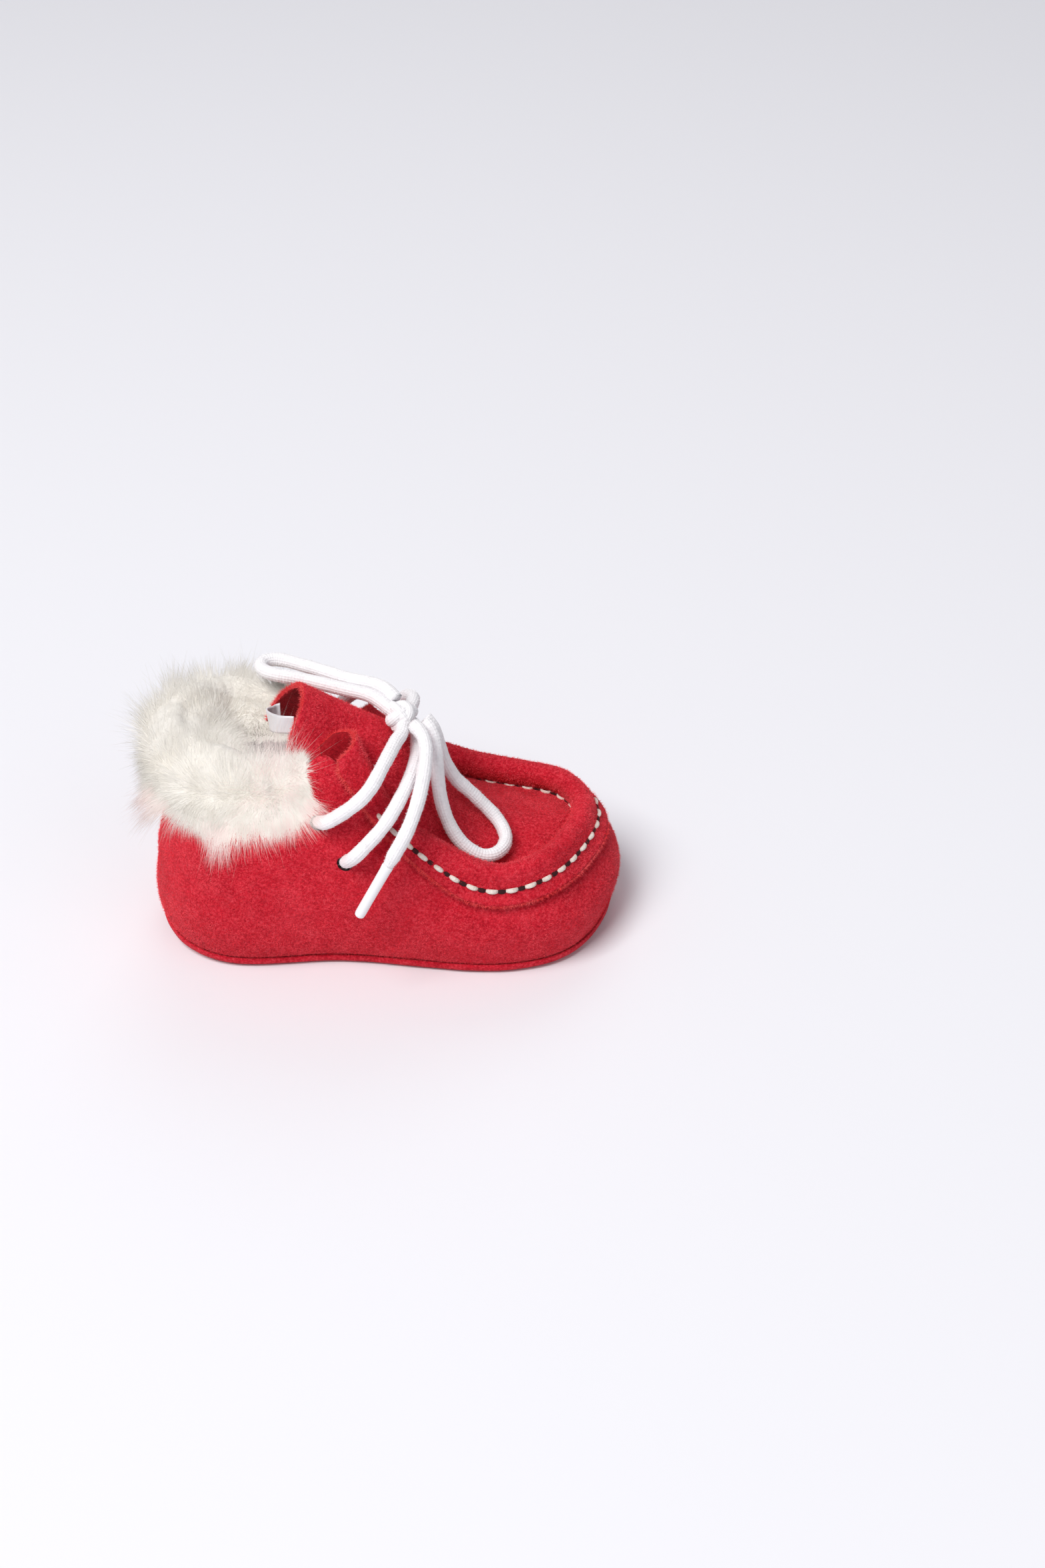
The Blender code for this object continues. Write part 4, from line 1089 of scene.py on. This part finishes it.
def make_stitches():
    """Cream saddle stitches, each drawn into the leather at its ends, over needle holes painted near-black as
    shade.
    """
    stitches, holes = [], []
    for name, line, normal in stitch_lines():
        gone = gone_along(line)
        count = int(gone[-1] / STITCH_PITCH)
        for k in range(count):
            start = (k + 0.5) * STITCH_PITCH + DICE.uniform(-0.12, 0.12) * MM
            length = STITCH_LENGTH * DICE.uniform(0.93, 1.05)
            for kind, low, high in (
                ("stitch", start, start + length),
                ("hole", start + length - HOLE_UNDER, start + STITCH_PITCH + HOLE_UNDER),
            ):
                along = np.linspace(low, high, STITCH_STEPS)
                here = np.stack([np.interp(along, gone, line[:, axis]) for axis in range(3)], axis=1)
                face = unit(np.stack([np.interp(along, gone, normal[:, axis]) for axis in range(3)], axis=1))
                dip = np.abs(np.linspace(-1, 1, STITCH_STEPS)) ** 2.6
                if kind == "stitch":
                    here = here + face * (STITCH_RISE - STITCH_DIP * dip)[:, None]
                    radii = STITCH_WIDTH / 2 * (1 - 0.42 * dip)
                    squash = (1.0, STITCH_HEIGHT / STITCH_WIDTH)
                    stitches.append(sweep("stitch", here, radii, THREAD, 10, squash, face))
                else:
                    here = here + face * (HOLE_RISE - HOLE_DIP * dip)[:, None]
                    # A near-black strip from one stitch to the next: painted shade in the needle holes.
                    radii = HOLE_RADIUS * (1 - 0.6 * dip)
                    holes.append(sweep("hole", here, radii, HOLE_PAINTED_SHADE, 8, (1.0, 0.34), face))
    dress(joined("stitches_cream", stitches), "apron")
    dress(joined("stitch_holes", holes), "apron")


# Hairs and fur


def triangles_of(thing):
    """The corners, areas and normals of a mesh's triangles."""
    mesh = thing.data
    mesh.calc_loop_triangles()
    corners = np.zeros(len(mesh.loop_triangles) * 3, np.int32)
    mesh.loop_triangles.foreach_get("vertices", corners)
    places = np.zeros(len(mesh.vertices) * 3)
    mesh.vertices.foreach_get("co", places)
    corners = places.reshape(-1, 3)[corners.reshape(-1, 3)]
    cross = np.cross(corners[:, 1] - corners[:, 0], corners[:, 2] - corners[:, 0])
    area = np.linalg.norm(cross, axis=1) / 2
    return corners, area, unit(cross)


def add_nap(name, thing, slot, count, length, width, finish, part=0):
    """Short fibres that stand up from one material of a surface, one thin triangle each."""
    corners, area, normal = triangles_of(thing)
    index = np.zeros(len(area), np.int32)
    thing.data.loop_triangles.foreach_get("material_index", index)
    weight = area * (index == part)
    chosen = DICE.choice(len(area), count, p=weight / weight.sum())
    mix = DICE.dirichlet((1, 1, 1), count)
    root = (corners[chosen] * mix[:, :, None]).sum(1)
    face = normal[chosen]
    lean = unit(DICE.normal(size=(count, 3)))
    way = unit(face * DICE.uniform(0.35, 1.0, (count, 1)) + lean * 0.8)
    way = np.where((way * face).sum(1, keepdims=True) < 0, -way, way)
    tall = length * DICE.uniform(0.5, 1.3, (count, 1))
    side = unit(np.cross(way, DICE.normal(size=(count, 3)))) * width / 2
    points = np.stack([root - side, root + side, root + way * tall], axis=1).reshape(-1, 3)
    faces = np.arange(count * 3).reshape(-1, 3)
    return dress(add_triangles(name, points, faces, finish), slot)


def add_triangles(name, points, faces, finish):
    """A mesh object of many loose triangles."""
    mesh = bpy.data.meshes.new(name)
    mesh.vertices.add(len(points))
    mesh.vertices.foreach_set("co", points.astype(np.float32).ravel())
    mesh.loops.add(faces.size)
    mesh.loops.foreach_set("vertex_index", faces.astype(np.int32).ravel())
    mesh.polygons.add(len(faces))
    mesh.polygons.foreach_set("loop_start", np.arange(0, faces.size, 3, dtype=np.int32))
    mesh.update(calc_edges=True)
    mesh.validate()
    mesh.materials.append(finish)
    return add_object(name, mesh)


# The fur cuff. Its hair grows from FUR_DROP below the collar's edge outside to FUR_LINING below it inside,
# and is longest over the edge. Rows and widths without a unit count in sections round the foot.
FUR_DROP = 6.6 * MM
FUR_LINING = 9.0 * MM
HEM_HAIR = 7.2 * MM
CREST_HAIR = 16.5 * MM
FAR_CREST = 1.04
LINING_HAIR = 11.5 * MM
HEEL_FULLER = 0.50
CREST_WIDTH = 0.42
LONG_LOCK_ROW = 2.1
LOCK_ROWS = 1.35
CUFF_FIRST = ROW_OF["quarter_outer"] - 0.5
CUFF_LAST = ROW_OF["quarter_inner"] + 0.5 - ROUND
END_ROWS = 1.3
BESIDE_TONGUE_FAR = 1.4
BESIDE_TONGUE_NEAR = 0.4
TONGUE_CLEAR = 1.4
UNDERWOOL_SHARE = 0.60
UNDERWOOL_THIN_FAR = 1.6
UNDERWOOL_THIN_NEAR = 0.7
UNDERWOOL_COLUMNS = 360
RIBBON_THICKNESS = 0.015 * MM
RIBBON_STOPS = (0.0, 0.5, 1.0)
RIBBON_TAPER = (1.0, 0.75)
HAIR_WAVE = 0.35 * MM
HAIR_SAG = 0.10
TUFTS = 4096
TUFT_SEED = 11
UP = np.array((0.0, 0.0, 1.0))

# Waves in the way the hair lies, along X, Y and Z: strength, waves by row and by turn, and start
SWIRL_WAVES = (
    ((0.30, 2.7, 4.1, 0.5), (0.18, 6.3, -5.0, 0.0)),
    ((0.30, 3.9, -3.3, 2.1), (0.18, 7.7, 6.1, 1.0)),
    ((0.30, 5.1, 2.2, 4.0),),
)

# Each coat of hair: how many, from where to where over the edge, the size of its tufts in rows and turns,
# the width of a hair in millimetres, how much longer it is than the rest, how far it strays and how far it
# gathers into its tuft, the row where the coat starts, and how much the hem's long locks stand out
COAT_COLUMNS = (
    "hairs", "low", "high", "tuft_rows", "tuft_turns", "width", "finish", "longer", "stray", "gather",
    "first", "locks",
)
COATS = {
    "fur_outer": (26000, -0.94, -0.45, 0.22, 0.22, 0.15, FUR, 1.00, 0.25, 0.28, CUFF_LAST, 0.0),
    "fur_shoulder": (27000, -0.50, 0.02, 0.22, 0.18, 0.16, FUR, 1.00, 0.25, 0.28, CUFF_LAST, 0.0),
    "fur_inner": (22000, 0.00, 1.00, 0.22, 0.22, 0.16, FUR, 1.00, 0.25, 0.28, CUFF_LAST, 0.0),
    "fur_wisps": (9000, -0.60, 0.40, 0.35, 0.30, 0.11, FUR, 1.25, 0.40, 0.28, CUFF_LAST, 0.0),
    # The hem and tongue wisps take the pinkish hair, painted red light from the suede.
    "fur_hem_wisps": (6000, -1.00, -0.75, 0.30, 0.50, 0.08, FUR_HEM_PAINTED_RED_LIGHT, 1.60, 0.30, 0.40, CUFF_LAST, 0.30),
    "fur_tongue_wisps": (1500, -0.50, 0.30, 0.30, 0.40, 0.07, FUR_HEM_PAINTED_RED_LIGHT, 2.20, 0.50, 0.20, 2.4, 0.0),
}


def cuff_place(rows, turn):
    """A place on the leather under the fur, its outward way and the way over the edge. turn runs from -1, the
    hem outside, through 0, the collar's edge, to 1, the hem inside."""
    edge, normal, over, _ = over_edge(rows)
    depth = np.where(turn < 0, -turn * FUR_DROP, turn * FUR_LINING)
    point, _, _, face = wall_frame(rows, up_at(rows, depth))
    outside = turn < 0
    skin = np.where(outside, 1.0 * MM, -WALL - 1.0 * MM)[:, None]
    place = point + face * skin
    rim = np.clip(1 - np.abs(turn) / 0.12, 0, 1)[:, None]
    place = place * (1 - rim) + (edge - normal * WALL * (0.5 + 2 * turn[:, None]) + over * 0.8 * MM) * rim
    return place, face, over


def from_ends(rows):
    """How many sections a row is from the nearer end of the cuff."""
    return np.maximum(np.minimum(CUFF_FIRST - rows, rows - CUFF_LAST), 0)


def hair_way(rows, turn, face, over):
    """The way the hair leans: down and out at the hem, up at the edge, in over the foot inside, and forward
    along the shoe at the two ends beside the tongue."""
    outside = turn < 0
    out = np.where(outside, 1.0 - 0.30 * turn**2, -0.95) * np.clip(np.abs(turn) * 2.6, 0.12, 1)
    lift = np.where(outside, 1.05 - 1.90 * np.abs(turn) ** 0.9, 1.10 - 1.15 * turn)
    way = unit(face * out[:, None] + over * lift[:, None])
    forward = np.clip(1 - from_ends(rows) / 0.55, 0, 1) * np.where(outside, 1.0, 0.15)
    return way + np.array((0.70, 0, -0.22)) * forward[:, None]


def hair_length(rows, turn):
    """How long the hair is there: full over the edge, shorter at the hem and beside the tongue."""
    ends = from_ends(rows)
    rounded = np.sin(np.clip(ends / END_ROWS, 0, 1) * math.pi / 2)
    hem = HEM_HAIR * (0.62 + 0.38 * rounded)
    close = np.where(rows < 0, BESIDE_TONGUE_FAR, BESIDE_TONGUE_NEAR)
    beside = 0.5 - 0.5 * np.cos(np.clip((ends - close) / TONGUE_CLEAR, 0, 1) * math.pi)
    lining = LINING_HAIR * (0.14 + 0.86 * beside) * (1 + HEEL_FULLER * np.exp(-((rows / 1.4) ** 2)))
    inside = np.clip(turn * 4 + 0.5, 0, 1)
    crest = CREST_HAIR * np.clip(1 - np.abs(turn) / CREST_WIDTH, 0, 1) ** 0.6 * (0.38 + 0.62 * rounded)
    crest = crest * (1 - inside * (1 - beside) * 0.85) * np.where(rows < 0, FAR_CREST, 1.0)
    return np.maximum(hem * (1 - inside) + lining * inside, crest)


def swirl(rows, turn):
    """Soft changes of the way the hair lies, from place to place."""
    axes = []
    for waves in SWIRL_WAVES:
        axes.append(sum(deep * np.sin(a * rows + b * turn + start) for deep, a, b, start in waves))
    return np.stack(axes, axis=1)


def grow_fur(
    name, hairs, low, high, tuft_rows, tuft_turns, width, finish, longer, stray, gather, first, locks
):
    """Tapered hairs in soft tufts over part of the cuff, each a thin ribbon with two faces that bends under
    its own weight and takes the light as the coat around it does."""
    count = hairs
    rows = DICE.uniform(first, CUFF_FIRST, count)
    turn = DICE.uniform(low, high, count)
    uneven_rows = 0.35 * np.sin(turn * 17)
    uneven_turns = 0.35 * np.sin(rows * 5)
    cell_row = np.round(rows / tuft_rows + uneven_rows).astype(int)
    cell_turn = np.round(turn / tuft_turns + uneven_turns).astype(int)
    tuft = np.random.default_rng(TUFT_SEED).normal(size=(TUFTS, 5))
    tuft = tuft[(cell_row * 131 + cell_turn * 7919) % TUFTS]
    lean, taller, together = tuft[:, :3], tuft[:, 3], tuft[:, 4]
    hub_row = np.clip((cell_row - uneven_rows) * tuft_rows, CUFF_LAST, CUFF_FIRST)
    hub_turn = np.clip((cell_turn - uneven_turns) * tuft_turns, -1.0, 1.0)
    root, face, over = cuff_place(rows, turn)
    hub, hub_face, hub_over = cuff_place(hub_row, hub_turn)
    way = hair_way(rows, turn, face, over) + swirl(rows, turn) + lean * 0.10
    way = way + DICE.normal(size=(count, 3)) * stray
    hub_way = hair_way(hub_row, hub_turn, hub_face, hub_over) + swirl(hub_row, hub_turn) + lean * 0.15
    tall = hair_length(rows, turn) * longer * (1 + 0.07 * taller) * DICE.uniform(0.70, 1.06, count)
    tall = tall * (1 + locks * np.cos((rows - LONG_LOCK_ROW) * math.tau / LOCK_ROWS))
    pull = np.clip(gather + 0.16 * together, 0.05, 0.8)[:, None]
    tip = (root + unit(way) * tall[:, None]) * (1 - pull) + (hub + unit(hub_way) * tall[:, None]) * pull
    tip[:, 2] -= HAIR_SAG * tall * DICE.uniform(0.3, 1.6, count)
    start_way = unit(face * np.where(turn < 0, 1, -1)[:, None] * 0.7 + over * 0.5)
    knee = root + start_way * (tall * 0.35)[:, None]
    wave = DICE.normal(size=(count, 3)) * HAIR_WAVE
    line = []
    for share in RIBBON_STOPS:
        bend = root * (1 - share) ** 2 + 2 * share * (1 - share) * knee + share**2 * tip
        line.append(bend + wave * math.sin(share * 2.6))
    line = np.stack(line, axis=1)
    outward = face * np.clip(-turn * 6, -1, 1)[:, None]
    along = unit(line[:, -1] - line[:, 0])
    side = unit(np.cross(along, outward + 0.5 * UP + DICE.normal(size=(count, 3)) * 0.2))
    front = np.cross(side, along)
    thick = width * MM * DICE.uniform(0.7, 1.25, (count, 1, 1))
    half = side[:, None, :] * np.array(RIBBON_TAPER)[None, :, None] * thick / 2
    ribbon = np.concatenate([line[:, :2] - half, line[:, :2] + half, line[:, 2:]], axis=1)
    points = np.concatenate([ribbon, ribbon - front[:, None, :] * RIBBON_THICKNESS], axis=1)
    two_faces = ((0, 2, 3), (0, 3, 1), (1, 3, 4), (5, 8, 7), (5, 6, 8), (6, 9, 8))
    faces = np.array(two_faces)[None] + np.arange(count)[:, None, None] * 10
    fur = add_triangles(name, points.reshape(-1, 3), faces.reshape(-1, 3), finish)
    slant = 0.25 * outward + 0.35 * front
    normals = np.stack([unit(UP + slant)] * 5 + [unit(UP - slant)] * 5, axis=1)
    fur.data.shade_smooth()
    fur.data.normals_split_custom_set_from_vertices(normals.reshape(-1, 3))
    # Real hair lets most of the light through, so this hair throws no shadow
    fur.visible_shadow = False
    return dress(fur, "fur_cuff")


def make_underwool():
    """The dense wool under the long hair, in soft tufts, thinning to nothing at its ends and hems."""
    rows = np.linspace(CUFF_LAST, CUFF_FIRST, UNDERWOOL_COLUMNS)
    outside, edge = np.linspace(-0.92, -0.16, 22), np.linspace(-0.12, 0.12, 12)
    turns = np.concatenate([outside, edge, np.linspace(0.16, 0.96, 18)])
    reach = np.where(rows < 0, UNDERWOOL_THIN_FAR, UNDERWOOL_THIN_NEAR)
    thin = np.sqrt(np.clip(from_ends(rows) / reach, 0.01, 1))
    rings = []
    for turn in turns:
        column = np.full_like(rows, turn)
        root, face, over = cuff_place(rows, column)
        way = unit(hair_way(rows, column, face, over))
        thick = hair_length(rows, column) * UNDERWOOL_SHARE * thin
        hem = np.clip((1 - abs(turn)) * 4, 0.10, 1)
        tuft = roughly(root, 3.4 * MM, 0.4 * MM, 8) + roughly(root, 1.5 * MM, 0.2 * MM, 9)
        rings.append(root + way * (thick * hem + tuft * hem * thin)[:, None])
    skin = []
    for turn in turns[::-1]:
        column = np.full_like(rows, turn)
        root, face, _ = cuff_place(rows, column)
        inward = np.where(column < 0, -1, 1)[:, None]
        skin.append(root + face * inward * 0.5 * MM)
    grid = np.stack(rings + skin, axis=1)
    count, size = grid.shape[:2]
    faces = ring_faces(count, size, "open")
    for first in (0, size * (count - 1)):
        for i in range(size // 2 - 1):
            faces.append((first + i, first + i + 1, first + size - 2 - i, first + size - 1 - i))
    wool = add_mesh("fur_underwool", grid.reshape(-1, 3), faces, UNDERFUR)
    wool.visible_shadow = False
    return dress(wool, "fur_cuff", "fur_cuff")


def make_fur():
    make_underwool()
    for name, coat in COATS.items():
        grow_fur(name, **dict(zip(COAT_COLUMNS, coat)))


# The stage


FLOOR_COLOUR = (0.86, 0.862, 0.905)
FLOOR_REACH = 3
SKY_COLOUR = (0.93, 0.94, 1.0)
SKY_STRENGTH = 0.28
AIM = (0, 0, 0.03)

# The lamps: place in metres, power in watts, size and colour
LAMPS = {
    "key": ((-0.80, -0.75, 1.80), 39.0, 1.1, (1.0, 0.985, 0.97)),
    "fill": ((1.10, -1.10, 1.20), 3.6, 1.4, (0.97, 0.98, 1.0)),
    "back": ((0.20, 1.60, 1.50), 6.0, 1.2, (1.0, 0.99, 0.98)),
}


def make_stage():
    """A plain pale floor and soft light from above, left and front."""
    floor_finish = new_finish("floor_paper", 0.6, FLOOR_COLOUR, Specular_IOR_Level=0.2)[0]
    mesh = bpy.data.meshes.new("floor")
    corners = [(x * FLOOR_REACH, y * FLOOR_REACH, 0) for x, y in ((-1, -1), (1, -1), (1, 1), (-1, 1))]
    mesh.from_pydata(corners, [], [(0, 1, 2, 3)])
    mesh.materials.append(floor_finish)
    add_object("floor", mesh)
    world = bpy.data.worlds.new("studio")
    world.use_nodes = True
    sky = world.node_tree.nodes["Background"]
    sky.inputs["Color"].default_value = (*SKY_COLOUR, 1)
    sky.inputs["Strength"].default_value = SKY_STRENGTH
    bpy.context.scene.world = world
    for name, (place, power, size, colour) in LAMPS.items():
        light = bpy.data.lights.new(name, "AREA")
        light.energy = power
        light.size = size
        light.color = colour
        lamp = add_object(name, light)
        lamp.location = place
        lamp.rotation_mode = "QUATERNION"
        lamp.rotation_quaternion = (Vector(AIM) - Vector(place)).to_track_quat("-Z", "Y")


CAMERA_PLACE = (0.018873, -0.418655, 0.349738)
CAMERA_DOWN = math.radians(36.8)
CAMERA_YAW = math.radians(2.0)
CAMERA_LENS = 50
CAMERA_SENSOR = 36


def add_camera():
    view = bpy.data.cameras.new("camera")
    view.lens = CAMERA_LENS
    view.sensor_width = CAMERA_SENSOR
    camera = add_object("camera", view)
    camera.location = CAMERA_PLACE
    camera.rotation_euler = (math.pi / 2 - CAMERA_DOWN, 0, -CAMERA_YAW)
    bpy.context.scene.camera = camera


make_sole()
make_insole()
UPPER = make_upper()
LEATHER = make_apron()
make_stitches()
make_taut_laces()
AGLETS = [
    make_aglet("aglet_outer_plastic", LACE_END_OUTER, "aglet_outer"),
    make_aglet("aglet_inner_plastic", LACE_END_INNER, "aglet_inner"),
]
make_free_laces(AGLETS, make_knot())
make_tag()
make_pinhole()
add_nap("nap_upper", UPPER, "upper", NAP_UPPER, NAP_LENGTH, NAP_WIDTH, SUEDE_NAP)
add_nap("nap_apron", LEATHER, "apron", NAP_APRON, NAP_LENGTH, NAP_WIDTH, SUEDE_NAP)
add_nap("nap_apron_edge", LEATHER, "apron", EDGE_COUNT, EDGE_LENGTH, EDGE_WIDTH, SUEDE_FUZZ, part=1)
make_fur()
make_stage()
add_camera()
bpy.context.scene.view_settings.view_transform = "Standard"
